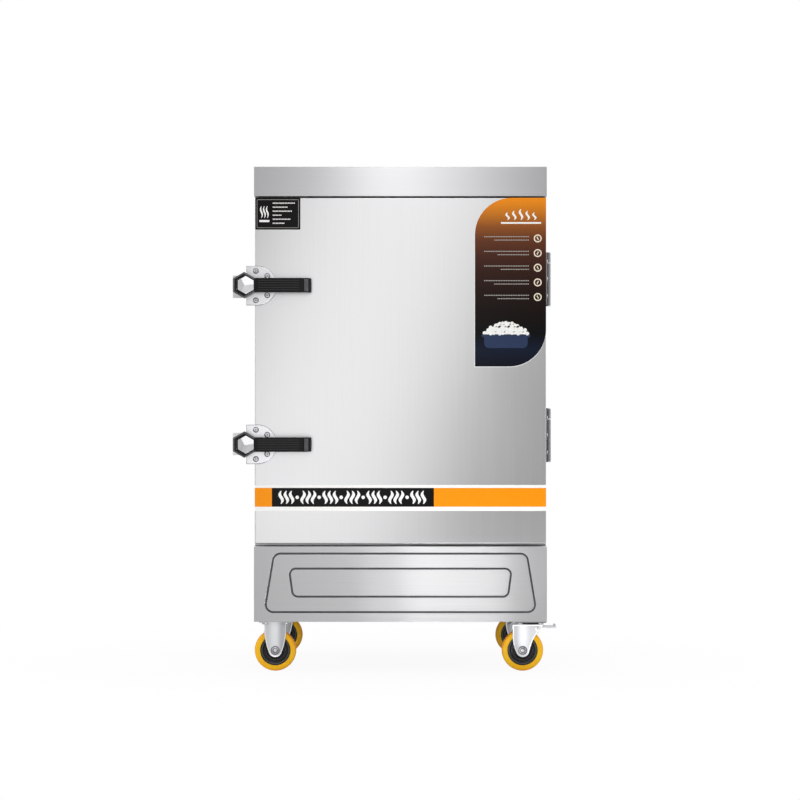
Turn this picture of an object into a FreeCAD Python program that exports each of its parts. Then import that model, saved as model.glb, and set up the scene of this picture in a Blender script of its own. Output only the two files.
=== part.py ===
import FreeCAD, Part
import math
import os
import re
import Sketcher
from FreeCAD import Placement, Rotation, Vector

# Commercial rice steamer: an insulated steam cabinet for six rice trays, with a water tank
# and heating elements in its plinth, a side-hung door with two turning latches, a float box
# at the back that keeps the water level, and four casters, two of them swivels with brakes.
#
# Millimetres. +X is to the right of a person facing the door, +Y runs to the back, +Z is up.
# The origin is on the floor, under the middle of the whole object's box.

doc = FreeCAD.newDocument("RiceSteamer")

# Driving sizes: millimetres, with angles in degrees and counts as plain numbers

SIZES = {
    # cabinet
    "plinth_height": 180,
    "shadow_gap": 7,
    "cap_gap": 4,
    "cap_height": 71,
    "sheet": 1.2,
    "bend_radius": 2,
    "side_wall": 45,
    "rear_wall": 45,
    "floor_wall": 33,
    "roof_wall": 105,
    "fit_gap": 0.3,
    "running_gap": 0.05,
    # plinth emboss
    "outer_top_set": 48,
    "outer_bottom_set": 25,
    "inner_top_set": 84,
    "inner_bottom_set": 93,
    "groove_width": 5,
    "groove_depth": 2.5,
    "outer_top_drop": 17,
    "outer_bottom_rise": 23,
    "outer_corner": 18,
    "inner_top_drop": 53,
    "inner_bottom_rise": 60,
    "inner_corner": 14,
    # underframe
    "frame_gauge": 4,
    "frame_leg": 14,
    "frame_side_flange": 92,
    "frame_end_flange": 100,
    # tank and heater
    "tank_side_set": 55,
    "tank_front_set": 65,
    "tank_rear_set": 55,
    "tank_depth": 172,
    "tank_flange": 20,
    "plate_lap": 12,
    "plate_hole_radius": 7,
    "plate_hole_columns": 11,
    "plate_hole_rows": 8,
    "plate_hole_pitch": 42,
    "element_radius": 6,
    "element_spread": 52,
    "element_pitch": 68,
    "element_count": 3,
    "element_height": 40,
    "element_front_set": 58.8,
    "element_tail": 22,
    "flange_margin": 12,
    "flange_half_height": 34,
    "flange_gauge": 6,
    "flange_lap": 10,
    # rear fittings
    "cover_half_width": 135,
    "cover_bottom_rise": 28,
    "cover_height": 118,
    "cover_depth": 42,
    "hatch_margin": 14,
    "gland_radius": 15,
    "gland_bore": 8,
    "gland_set": 50,
    "gland_length": 26,
    "gland_wall": 4,
    "gland_neck": 10,
    "float_box_set": 27,
    "float_box_width": 158,
    "float_box_depth": 100,
    "float_box_height": 150,
    "float_box_rise": 52,
    "lid_height": 10,
    "lid_gap": 1,
    "feed_radius": 14,
    "feed_rise": 26,
    "feed_tail": 12,
    "pipe_wall": 1.5,
    "pipe_gap": 1,
    "valve_radius": 13,
    "valve_length": 30,
    "valve_rise": 104,
    "nipple_radius": 10.5,
    "nipple_length": 24,
    "nipple_neck": 9.5,
    "nipple_bore": 6.5,
    "lug_half": 6,
    "lug_slot_back": 0.5,
    "float_pin_set": 5,
    "float_pin_radius": 1.5,
    "float_eye_radius": 3.5,
    "float_radius": 27,
    "float_end_gap": 6.6,
    "float_arm_radius": 2.5,
    "float_droop": 20,
    "drain_set": 35,
    "drain_rise": 20,
    "drain_radius": 13,
    "drain_reach": 105,
    "valve_body_radius": 19,
    "valve_body_length": 46,
    "valve_body_set": 34,
    "drain_lever_length": 92,
    "drain_lever_width": 17,
    "drain_lever_gauge": 3,
    "plug_half": 4,
    "stem_radius": 5,
    "stem_height": 30,
    "stem_wall": 4,
    "stem_foot": 2,
    "stem_neck_drop": 6,
    "vent_radius": 16,
    "vent_drop": 62,
    "vent_reach": 46,
    "vent_collar": 28,
    "vent_collar_gauge": 2,
    # racks and trays
    "tray_count": 6,
    "tray_pitch": 120,
    "tray_width": 600,
    "tray_length": 400,
    "tray_depth": 48,
    "tray_gauge": 1,
    "tray_rim": 3,
    "tray_corner": 22,
    "tray_foot": 6,
    "first_shelf": 42,
    "post_gauge": 3,
    "post_width": 26,
    "runner_leg": 18,
    "runner_gauge": 1.5,
    "runner_overhang": 10,
    "tray_side_gap": 5,
    "tray_front_set": 38,
    "tray_rear_set": 60.8,
    "head_room": 80,
    # door
    "door_depth": 45,
    "gasket_space": 10,
    "gasket_width": 14,
    "gasket_lap": 6,
    "door_side_gap": 2,
    "door_bulge": 6,
    "bulge_set": 10,
    "film": 0.3,
    "band_rise": 78,
    "band_height": 62,
    "label_left": 1,
    "label_width": 108,
    "label_height": 76,
    "sticker_width": 170,
    "sticker_height": 403,
    "sticker_corner": 88,
    # hinges
    "hinge_upper_drop": 192.5,
    "hinge_lower_rise": 258.5,
    "hinge_height": 124,
    "barrel_radius": 6,
    "leaf_gauge": 2.5,
    "leaf_width": 38,
    "leaf_set": 7,
    "pin_radius": 3,
    "pin_cap": 3,
    "pin_cap_radius": 5.5,
    "bottom_knuckle": 51,
    "door_knuckle": 48,
    "washer_height": 3,
    "washer_radius": 6.3,
    # latches
    "latch_upper_drop": 210,
    "latch_lower_rise": 237,
    "latch_out": 21,
    "hub_flats": 54.5,
    "hub_depth": 28,
    "hub_chamfer": 4,
    "cap_flats": 37.7,
    "cap_seat": 2,
    "cap_edge": 1,
    "cap_rise": 7,
    "cap_apex_x": 3,
    "cap_apex_z": 1,
    "cap_apex_flats": 1.5,
    "lever_length": 159,
    "lever_height": 34.4,
    "lever_gauge": 12,
    "lever_bend": 24,
    "lever_set": 2,
    "lever_tip_gap": 13,
    "lever_round": 2.5,
    "rib_count": 5,
    "rib_pitch": 5.6,
    "rib_width": 2,
    "rib_depth": 0.8,
    "rib_start": 6,
    "rib_end": 4,
    "base_height": 94,
    "base_left": 3,
    "base_shoulder": 29,
    "base_gauge": 6,
    "base_round": 2,
    "base_inner_screw_x": 26,
    "base_inner_screw_z": 35,
    "base_outer_screw_x": 53,
    "base_outer_screw_z": 23,
    "boss_radius": 20,
    "boss_height": 16,
    "barrel_length": 30,
    "sleeve_radius": 12.5,
    "shaft_radius": 8,
    "tongue_length": 30,
    "tongue_width": 10,
    "tongue_gauge": 6,
    "slot_gap": 1,
    "keeper_reach": 54,
    "keeper_height": 54,
    "keeper_gauge": 4,
    "keeper_foot_gauge": 3,
    "keeper_foot": 40,
    "keeper_set": 9,
    "keeper_screw_set": 26,
    "tongue_gap": 0.5,
    # screws
    "screw_radius": 2.4,
    "screw_head": 5,
    "screw_head_height": 2.4,
    "screw_depth": 8,
    # casters
    "tyre_radius": 50,
    "tyre_half": 15,
    "tyre_shoulder": 5,
    "core_radius": 36.5,
    "core_half": 14,
    "rim_radius": 30,
    "web_half": 7,
    "ridge_radius": 20,
    "ridge_half": 11,
    "ridge_width": 4,
    "hub_radius": 11,
    "hub_half": 16.5,
    "axle_radius": 5,
    "axle_head_radius": 11,
    "axle_head_height": 6,
    "fork_gauge": 2.5,
    "fork_gap": 1,
    "fork_tip_radius": 16,
    "fork_half": 26,
    "fork_side_bend": 170,
    "fixed_set": 49,
    "swivel_set": 38,
    "caster_set": 65,
    "tyre_clear": 8.7,
    "trail": 18,
    "plate_half_x": 37.5,
    "plate_half_y": 45,
    "plate_gauge": 4,
    "bolt_x": 25,
    "bolt_y": 35,
    "bolt_radius": 4,
    "bolt_head_radius": 6.5,
    "bolt_head_height": 4,
    "race_radius": 24,
    "race_height": 6,
    "crown_gauge": 3,
    "crown_left": 42,
    "crown_right": 30,
    "left_edge_drop": 31.7,
    "left_bend": 90,
    "flare_bend": 125,
    "kingpin_radius": 6,
    "kingpin_head_radius": 9,
    "kingpin_head_height": 4,
    "pedal_pivot_x": 18,
    "pedal_pivot_drop": 6.7,
    "pedal_pin_radius": 3,
    "pedal_pin_reach": 2,
    "pedal_boss_radius": 6,
    "pedal_gauge": 4,
    "pedal_rise": 2,
    "pedal_reach": 62,
    "pedal_half": 13,
    "pedal_tread_half": 20,
    "pedal_tread_length": 22,
    "pedal_lip": 4,
    "brake_arm": 12,
    "brake_half": 4,
    "pedal_travel": 15,
}

# Places that follow from the sizes

PLACES = {
    "side": "tray_width / 2 + tray_side_gap + side_wall",
    "seal_depth": "door_depth + gasket_space",
    "cabinet_depth": "seal_depth + sheet + tray_front_set + tray_length + tray_rear_set + rear_wall",
    "front": "0 - cabinet_depth / 2",
    "back": "cabinet_depth / 2",
    "crown_bottom": "tyre_radius * 2 + tyre_clear",
    "crown_top": "crown_bottom + crown_gauge",
    "race_bottom": "crown_top + fit_gap",
    "plate_bottom": "race_bottom + race_height",
    "caster_height": "plate_bottom + plate_gauge",
    "fixed_x": "side - fixed_set",
    "swivel_x": "side - swivel_set",
    "caster_y": "back - caster_set",
    "plinth_top": "caster_height + plinth_height",
    "door_bottom": "plinth_top + shadow_gap",
    "door_top": "cap_bottom - cap_gap",
    "cap_bottom": "cabinet_top - cap_height",
    "cabinet_top": "chamber_roof + roof_wall",
    "door_height": "door_top - door_bottom",
    "carcass_front": "front + seal_depth",
    "inner_side": "side - sheet",
    "inner_back": "back - sheet",
    "chamber_half": "side - side_wall",
    "chamber_back": "back - rear_wall",
    "chamber_front": "carcass_front + sheet",
    "chamber_floor": "plinth_top + floor_wall",
    "chamber_roof": "post_top + head_room",
    "liner_bottom": "chamber_floor - sheet",
    "tank_half_width": "chamber_half - tank_side_set",
    "tank_front": "chamber_front + tank_front_set",
    "tank_back": "chamber_back - tank_rear_set",
    "tank_middle": "(tank_front + tank_back) / 2",
    "tank_bottom": "liner_bottom - tank_depth",
    "element_z": "tank_bottom + element_height",
    "element_half": "(element_count - 1) * element_pitch / 2 + element_spread / 2 + element_radius",
    "flange_half_width": "element_half + flange_margin",
    "hatch_half": "cover_half_width - hatch_margin",
    "gland_x": "cover_half_width - gland_set",
    "cover_bottom": "caster_height + cover_bottom_rise",
    "cover_top": "cover_bottom + cover_height",
    "cover_back": "back + cover_depth",
    "float_box_right": "side - float_box_set",
    "float_box_left": "float_box_right - float_box_width",
    "float_box_bottom": "caster_height + float_box_rise",
    "float_box_top": "float_box_bottom + float_box_height",
    "float_box_back": "back + float_box_depth",
    "float_y": "back + float_box_depth / 2",
    "feed_x": "float_box_left + float_box_width / 4",
    "feed_z": "float_box_bottom + feed_rise",
    "valve_z": "float_box_bottom + valve_rise",
    "valve_face": "float_box_right - sheet - valve_length",
    "float_pivot_x": "valve_face - float_pin_set",
    "float_arm_length": "float_pivot_x - float_box_left - sheet - float_end_gap - float_radius * 2",
    "drain_x": "tank_half_width - drain_set",
    "drain_z": "tank_bottom + drain_rise",
    "drain_pipe_back": "back + drain_reach",
    "drain_valve_y": "back + valve_body_set + valve_body_length / 2",
    "drain_stem_top": "drain_z + stem_height",
    "vent_z": "chamber_roof - vent_drop",
    "vent_back": "back + vent_reach",
    "shelf": "chamber_floor + first_shelf",
    "post_top": "shelf + (tray_count - 1) * tray_pitch + tray_depth",
    "tray_front": "chamber_front + tray_front_set",
    "tray_middle": "tray_front + tray_length / 2",
    "runner_length": "tray_length + runner_overhang * 2",
    "door_half": "side - door_side_gap",
    "door_back": "front + door_depth",
    "opening_bottom": "chamber_floor",
    "opening_top": "chamber_roof",
    "gasket_bottom": "opening_bottom - gasket_lap",
    "gasket_top": "opening_top + gasket_lap",
    "gasket_half": "chamber_half + gasket_lap",
    "band_bottom": "door_bottom + band_rise",
    "hinge_upper": "door_top - hinge_upper_drop",
    "hinge_lower": "door_bottom + hinge_lower_rise",
    "hinge_x": "side + barrel_radius",
    "hinge_y": "door_back + gasket_space / 2",
    "latch_upper": "door_top - latch_upper_drop",
    "latch_lower": "door_bottom + latch_lower_rise",
    "latch_x": "0 - side - latch_out",
    "hub_back": "boss_height + fit_gap",
    "hub_front": "hub_back + hub_depth",
    "lever_front": "hub_front - lever_set",
    "lever_back": "lever_front - lever_gauge",
    "keeper_front": "carcass_front + keeper_set",
    "keeper_back": "keeper_front + keeper_gauge",
    "tongue_front": "keeper_back + tongue_gap",
    "fork_inner": "hub_half + fork_gap",
    "fork_outer": "fork_inner + fork_gauge",
    "tip_cos": "fork_tip_radius * cos(18 deg)",
    "tip_sin": "fork_tip_radius * sin(18 deg)",
    "left_edge_height": "crown_top - left_edge_drop",
    "pedal_pivot_height": "crown_bottom - pedal_pivot_drop",
    "left_reach": "side + keeper_reach",
    "right_reach": "max(swivel_x + pedal_reach; hinge_x + barrel_radius)",
    "front_reach": "0 - front + hub_front + cap_edge + cap_rise",
    "rear_reach": "max(max(float_box_back + lid_gap + sheet; drain_pipe_back); vent_back)",
    "shift_x": "(left_reach - right_reach) / 2",
    "shift_y": "(front_reach - rear_reach) / 2",
}

WORD = re.compile(r"[a-z_][a-z_0-9]*")

cells = doc.addObject("Spreadsheet::Sheet", "Sizes")
for row, (name, number) in enumerate(SIZES.items(), start=1):
    cells.set(f"A{row}", str(number))
    cells.setAlias(f"A{row}", name)
doc.recompute()


def expand(text):
    """Write every size in an expression as its cell, and every place as its own expression."""
    def swap(match):
        word = match.group(0)
        if word in SIZES:
            return "Sizes." + word
        if word in PLACES:
            return "(" + expand(PLACES[word]) + ")"
        return word
    return WORD.sub(swap, str(text))


def value(text):
    """The number that an expression has now."""
    return float(cells.evalExpression(expand(text)))


def bind(thing, **properties):
    """Tie properties of an object to expressions."""
    for name, text in properties.items():
        thing.setExpression(name, expand(text))


def put(thing, x=0, y=0, z=0):
    """Tie an object's place to expressions."""
    thing.setExpression("Placement.Base.x", expand(x))
    thing.setExpression("Placement.Base.y", expand(y))
    thing.setExpression("Placement.Base.z", expand(z))
    return thing


# Solids of the Part workbench: x, y and z are (from, to) pairs of expressions

TURN = {
    "x": Rotation(Vector(0, 1, 0), 90),
    "y": Rotation(Vector(1, 0, 0), -90),
    "z": Rotation(),
}
corner_of = {}


def box(name, x, y, z):
    """A block between two places on each axis."""
    block = doc.addObject("Part::Box", name)
    bind(block, Length=f"({x[1]}) - ({x[0]})", Width=f"({y[1]}) - ({y[0]})", Height=f"({z[1]}) - ({z[0]})")
    put(block, x[0], y[0], z[0])
    corner_of[block.Name] = (x[0], y[0], z[0])
    return block


def rod(name, axis, radius, start, end, across):
    """A cylinder along an axis from start to end; across is its place on the other two axes."""
    cylinder = doc.addObject("Part::Cylinder", name)
    bind(cylinder, Radius=radius, Height=f"({end}) - ({start})")
    cylinder.Placement = Placement(Vector(), TURN[axis])
    corner = {
        "x": (start, across[0], across[1]),
        "y": (across[0], start, across[1]),
        "z": (across[0], across[1], start),
    }[axis]
    put(cylinder, *corner)
    corner_of[cylinder.Name] = corner
    return cylinder


def fuse(name, *pieces):
    """Several overlapping solids as one."""
    result = doc.addObject("Part::MultiFuse", name)
    result.Shapes = list(pieces)
    result.Refine = True
    return result


def group(name, *pieces):
    """Solids that stay apart in one object."""
    result = doc.addObject("Part::Compound", name)
    result.Links = list(pieces)
    return result


def cut(name, base, *tools):
    """A solid with others taken out of it."""
    result = doc.addObject("Part::Cut", name)
    result.Base = base
    result.Tool = tools[0] if len(tools) == 1 else fuse(name + "_tools", *tools)
    return result


def both(text):
    """The pair of places that lie evenly on both sides of the middle."""
    return (f"0 - ({text})", text)


def shell(name, x, y, z, wall, open_side=None):
    """A hollow box of sheet, open on one side such as -y or +z."""
    inner = {}
    for axis, (low, high) in zip("xyz", (x, y, z)):
        inner[axis] = [f"{low} + {wall}", f"{high} - {wall}"]
    if open_side:
        end = 0 if open_side[0] == "-" else 1
        inner[open_side[1]][end] = (x, y, z)["xyz".index(open_side[1])][end]
    return cut(name, box(name + "_outer", x, y, z), box(name + "_hollow", *inner.values()))


# Bodies of the PartDesign workbench, each drawn about its own origin


def body(name):
    """A new body that may hold separate solids while it is being built."""
    result = doc.addObject("PartDesign::Body", name)
    result.AllowCompound = True
    return result


def datum(owner, role):
    """One of a body's own origin planes or axes."""
    return next(item for item in owner.Origin.OriginFeatures if item.Role == role)


def sketch(owner, plane, *outlines, height=0):
    """A sketch of closed outlines on an origin plane, raised along the plane's normal."""
    drawing = owner.newObject("Sketcher::SketchObject", owner.Name + "_sketch")
    drawing.AttachmentSupport = [(datum(owner, plane), "")]
    drawing.MapMode = "FlatFace"
    drawing.setExpression("AttachmentOffset.Base.z", expand(height))
    for outline in outlines:
        if isinstance(outline, tuple):
            draw_circle(drawing, *outline)
        else:
            draw_outline(drawing, outline)
    doc.recompute()
    return drawing


def tie(drawing, kind, text, *where):
    """A constraint whose number follows an expression."""
    number = value(text)
    index = drawing.addConstraint(Sketcher.Constraint(kind, *where, number))
    drawing.setExpression(f"Constraints[{index}]", expand(text))


def tie_point(drawing, geometry, end, x, y):
    """Hold one end of a line or arc, or a circle's centre, at a place."""
    tie(drawing, "DistanceX", x, -1, 1, geometry, end)
    tie(drawing, "DistanceY", y, -1, 1, geometry, end)


def draw_circle(drawing, x, y, radius):
    """A circle about a place."""
    circle = Part.Circle(Vector(value(x), value(y), 0), Vector(0, 0, 1), value(radius))
    geometry = drawing.addGeometry(circle, False)
    tie(drawing, "Radius", radius, geometry)
    tie_point(drawing, geometry, 3, x, y)


def draw_outline(drawing, points):
    """A closed outline, anticlockwise. A point is (x, y), or (x, y, radius) where an arc starts.

    A positive radius bulges out of the outline and a negative one bites into it.
    """
    places = [Vector(value(point[0]), value(point[1]), 0) for point in points]
    count = len(points)
    ends = []
    for index, point in enumerate(points):
        start = places[index]
        end = places[(index + 1) % count]
        if len(point) == 2:
            geometry = drawing.addGeometry(Part.LineSegment(start, end), False)
            ends.append((geometry, 1, 2))
            continue
        radius = value(point[2])
        chord = end - start
        rise = math.sqrt(max(radius ** 2 - (chord.Length / 2) ** 2, 0))
        left = Vector(-chord.y, chord.x, 0).normalize()
        centre = (start + end) * 0.5 + left * math.copysign(rise, radius)
        angles = [math.atan2(spot.y - centre.y, spot.x - centre.x) for spot in (start, end)]
        if radius < 0:
            angles.reverse()
        circle = Part.Circle(centre, Vector(0, 0, 1), abs(radius))
        geometry = drawing.addGeometry(Part.ArcOfCircle(circle, *angles), False)
        ends.append((geometry, 1, 2) if radius > 0 else (geometry, 2, 1))
        tie(drawing, "Radius", f"abs({point[2]})", geometry)
    for index, (geometry, start, end) in enumerate(ends):
        following = ends[(index + 1) % count]
        drawing.addConstraint(Sketcher.Constraint("Coincident", geometry, end, following[0], following[1]))
        tie_point(drawing, geometry, start, points[index][0], points[index][1])


def pad(owner, drawing, length, back=False, middle=False):
    """Material from a sketch along its normal, against it, or evenly to both sides."""
    feature = owner.newObject("PartDesign::Pad", owner.Name + "_pad")
    feature.Profile = drawing
    bind(feature, Length=length)
    feature.Reversed = back
    feature.Midplane = middle
    doc.recompute()
    return feature


def pocket(owner, drawing, length, back=False, middle=False):
    """A recess from a sketch against its normal; back turns it round."""
    before = owner.Shape.Volume
    feature = owner.newObject("PartDesign::Pocket", owner.Name + "_pocket")
    feature.Profile = drawing
    bind(feature, Length=length)
    feature.Reversed = back
    feature.Midplane = middle
    doc.recompute()
    if owner.Shape.Volume >= before:
        raise ValueError(feature.Name + " cuts nothing")
    return feature


def turn(owner, drawing):
    """Material from a sketch turned about its upright axis."""
    feature = owner.newObject("PartDesign::Revolution", owner.Name + "_turned")
    feature.Profile = drawing
    feature.ReferenceAxis = (drawing, ["V_Axis"])
    feature.Angle = 360
    doc.recompute()
    return feature


def edge_names(shape, pick):
    """The names of the edges that a test picks."""
    return [f"Edge{index}" for index, edge in enumerate(shape.Edges, start=1) if pick(edge)]


def runs_along(edge, axis):
    """Whether an edge is straight and lies along x, y or z."""
    if not isinstance(edge.Curve, Part.Line):
        return False
    return abs(getattr(edge.tangentAt(edge.FirstParameter), axis)) > 0.999


def near(edge, axis, place, reach=0.01):
    """Whether all of an edge lies at one place on an axis."""
    bound = edge.BoundBox
    low = getattr(bound, axis.upper() + "Min")
    high = getattr(bound, axis.upper() + "Max")
    return abs(low - place) < reach and abs(high - place) < reach


def soften(owner, radius, pick, chamfer=False):
    """Round or bevel the picked edges of a body."""
    base = owner.Tip
    kind = "Chamfer" if chamfer else "Fillet"
    feature = owner.newObject("PartDesign::" + kind, owner.Name + "_" + kind.lower())
    feature.Base = (base, edge_names(base.Shape, pick))
    if chamfer:
        bind(feature, Size=radius)
    else:
        bind(feature, Radius=radius)
    doc.recompute()
    return feature


def rectangle(x, y):
    """An outline between two places on each axis of a sketch."""
    return [(x[0], y[0]), (x[1], y[0]), (x[1], y[1]), (x[0], y[1])]


def hexagon(flats, x=0, y=0):
    """A point-up hexagon across its flats."""
    corners = []
    for index in range(6):
        angle = f"{60 * index - 90} deg"
        reach = f"({flats}) / 2 / cos(30 deg)"
        corners.append((f"{x} + {reach} * cos({angle})", f"{y} + {reach} * sin({angle})"))
    return corners


nodes = {}


def node(label, thing, x=None, y=0, z=0):
    """Name a finished sub-part and set it in the object's frame.

    Solids of the Part workbench stand in cabinet places already; a body gets its place here.
    """
    if x is None:
        x, y, z = corner_of.get(thing.Name, (0, 0, 0))
    put(thing, f"{x} + shift_x", f"{y} + shift_y", z)
    thing.Label = label
    nodes[label] = thing
    return thing


def screws(name, places, axis, inward, seat):
    """Pan-head screws at places on the two axes across; inward is the sign of the shank's way."""
    pieces = []
    for index, across in enumerate(places):
        tag = f"{name}_{index}"
        if inward > 0:
            head = (f"{seat} - screw_head_height", seat)
            shank = (seat, f"{seat} + screw_depth")
        else:
            head = (seat, f"{seat} + screw_head_height")
            shank = (f"{seat} - screw_depth", seat)
        pieces.append(fuse(
            tag,
            rod(tag + "_head", axis, "screw_head", *head, across),
            rod(tag + "_shank", axis, "screw_radius", *shank, across),
        ))
    return pieces


# Plinth: an angle frame skinned with a front panel and a U-shaped wrap

CASTERS = {
    "front_left": ("0 - fixed_x", "0 - caster_y"),
    "rear_left": ("0 - fixed_x", "caster_y"),
    "front_right": ("swivel_x", "0 - caster_y"),
    "rear_right": ("swivel_x", "caster_y"),
}


def bolt_places(x, y):
    """The four bolts of one caster plate."""
    return [(f"{x} {a} bolt_x", f"{y} {b} bolt_y") for a in "+-" for b in "+-"]


def underframe():
    across = "inner_side"
    deep = "inner_back"
    top = "caster_height + frame_gauge + frame_leg"
    outer = box("frame_outer", both(across), both(deep), ("caster_height", top))
    well = box(
        "frame_well",
        both(f"{across} - frame_gauge"),
        both(f"{deep} - frame_gauge"),
        ("caster_height + frame_gauge", top),
    )
    opening = box(
        "frame_opening",
        both(f"{across} - frame_side_flange"),
        both(f"{deep} - frame_end_flange"),
        ("caster_height", "caster_height + frame_gauge"),
    )
    holes = []
    for name, (x, y) in CASTERS.items():
        for index, across_at in enumerate(bolt_places(x, y)):
            holes.append(rod(
                f"frame_hole_{name}_{index}", "z", "bolt_radius + fit_gap",
                "caster_height", "caster_height + frame_gauge", across_at,
            ))
    node("base_frame", cut("underframe", outer, well, opening, *holes))


def trapezoid(kind, grow):
    """The outline of an embossed ring's edge, moved outwards by grow, from the plinth's foot."""
    top = f"(plinth_height - {kind}_top_drop)"
    bottom = f"{kind}_bottom_rise"
    lean = f"(({kind}_top_set - {kind}_bottom_set) / ({top} - {bottom}))"
    wide = f"sqrt(1 + {lean} * {lean})"
    top_half = f"(side - {kind}_top_set + ({grow}) * ({wide} - {lean}))"
    bottom_half = f"(side - {kind}_bottom_set + ({grow}) * ({wide} + {lean}))"
    return [
        (f"0 - {bottom_half}", f"{bottom} - ({grow})"),
        (bottom_half, f"{bottom} - ({grow})"),
        (top_half, f"{top} + ({grow})"),
        (f"0 - {top_half}", f"{top} + ({grow})"),
    ]


def plinth_front():
    panel = body("plinth_front_panel")
    section = [
        (0, 0),
        ("sheet", 0),
        ("sheet", "plinth_height - sheet"),
        ("seal_depth", "plinth_height - sheet"),
        ("seal_depth", "plinth_height"),
        (0, "plinth_height"),
    ]
    pad(panel, sketch(panel, "YZ_Plane", section), "side * 2", middle=True)
    half = "groove_width / 2"
    for kind in ("outer", "inner"):
        rib = sketch(
            panel, "XZ_Plane",
            trapezoid(kind, f"{half} + sheet"), trapezoid(kind, f"0 - {half} - sheet"),
            height="0 - sheet",
        )
        pad(panel, rib, "groove_depth", back=True)
        groove = sketch(panel, "XZ_Plane", trapezoid(kind, half), trapezoid(kind, f"0 - {half}"))
        pocket(panel, groove, "groove_depth")
    for kind in ("outer", "inner"):
        for grow in (f"{half} + sheet", half, f"0 - {half}", f"0 - {half} - sheet"):
            corners = [(value(x), value(z)) for x, z in trapezoid(kind, grow)]

            def at_corner(edge):
                if not runs_along(edge, "y"):
                    return False
                spot = edge.Vertexes[0].Point
                return any(math.hypot(spot.x - x, spot.z - z) < 0.05 for x, z in corners)

            soften(panel, f"{kind}_corner + ({grow})", at_corner)
    node("plinth_front", panel, 0, "front", "caster_height")


def plinth_wrap():
    wrap = cut(
        "plinth_wrap",
        box("wrap_outer", both("side"), ("front + sheet", "back"), ("caster_height", "plinth_top")),
        box(
            "wrap_hollow", both("inner_side"), ("front + sheet", "inner_back"),
            ("caster_height", "plinth_top"),
        ),
        box(
            "wrap_notch", both("side"), ("front + sheet", "carcass_front"),
            ("plinth_top - sheet", "plinth_top"),
        ),
        box(
            "wrap_hatch", both("hatch_half"), ("inner_back", "back"),
            ("cover_bottom + hatch_margin", "cover_top - hatch_margin"),
        ),
        rod(
            "wrap_drain_hole", "y", "drain_radius + pipe_gap", "inner_back", "back",
            ("0 - drain_x", "drain_z"),
        ),
        rod("wrap_feed_hole", "y", "feed_radius + pipe_gap", "inner_back", "back", ("feed_x", "feed_z")),
    )
    node("plinth_sides", wrap)


# Cabinet: outer wrap, cap, jamb, liner, insulation


def outer_wrap():
    wrap = cut(
        "cabinet_wrap",
        box("sides_outer", both("side"), ("carcass_front", "back"), ("plinth_top", "cap_bottom")),
        box(
            "sides_hollow", both("inner_side"), ("carcass_front", "inner_back"),
            ("plinth_top", "cap_bottom"),
        ),
        rod("sides_vent_hole", "y", "vent_radius", "inner_back", "back", (0, "vent_z")),
    )
    node("outer_wrap", wrap)


def top_cap():
    cap = body("cap_panel")
    pad(cap, sketch(cap, "XY_Plane", rectangle(both("side"), ("front", "back"))), "cap_height")
    top = value("cap_height")
    soften(cap, "bend_radius", lambda edge: runs_along(edge, "z") or near(edge, "z", top))
    hollow = sketch(cap, "XY_Plane", rectangle(both("inner_side"), ("front + sheet", "inner_back")))
    pocket(cap, hollow, "cap_height - sheet", back=True)
    hem = rectangle(both("inner_side"), ("front + sheet", "carcass_front"))
    pad(cap, sketch(cap, "XY_Plane", hem), "sheet")
    node("top_cap", cap, 0, 0, "cap_bottom")


def jamb():
    frame = cut(
        "jamb_frame",
        box(
            "jamb_plate", both("inner_side"), ("carcass_front", "chamber_front"),
            ("plinth_top", "cap_bottom"),
        ),
        box(
            "jamb_mouth", both("chamber_half"), ("carcass_front", "chamber_front"),
            ("opening_bottom", "opening_top"),
        ),
    )
    node("door_jamb", frame)


def liner():
    walls = cut(
        "liner_walls",
        box(
            "liner_outer", both("chamber_half + sheet"), ("chamber_front", "chamber_back + sheet"),
            ("liner_bottom", "chamber_roof + sheet"),
        ),
        box(
            "liner_hollow", both("chamber_half"), ("chamber_front", "chamber_back"),
            ("chamber_floor", "chamber_roof"),
        ),
        box(
            "liner_well", both("tank_half_width"), ("tank_front", "tank_back"),
            ("liner_bottom", "chamber_floor"),
        ),
        rod("liner_vent_hole", "y", "vent_radius", "chamber_back", "chamber_back + sheet", (0, "vent_z")),
    )
    node("chamber_liner", walls)


def insulation():
    blanket = cut(
        "blanket",
        box(
            "blanket_outer", both("inner_side"), ("chamber_front", "inner_back"),
            ("plinth_top", "cabinet_top - sheet"),
        ),
        box(
            "blanket_chamber", both("chamber_half + sheet"), ("chamber_front", "chamber_back + sheet"),
            ("liner_bottom", "chamber_roof + sheet"),
        ),
        box(
            "blanket_tank",
            both("tank_half_width + tank_flange"),
            ("tank_front - tank_flange", "tank_back + tank_flange"),
            ("plinth_top", "liner_bottom"),
        ),
        rod("blanket_vent_hole", "y", "vent_radius", "chamber_back", "inner_back", (0, "vent_z")),
    )
    node("insulation", blanket)


# Water tank, steam plate and heater


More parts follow.
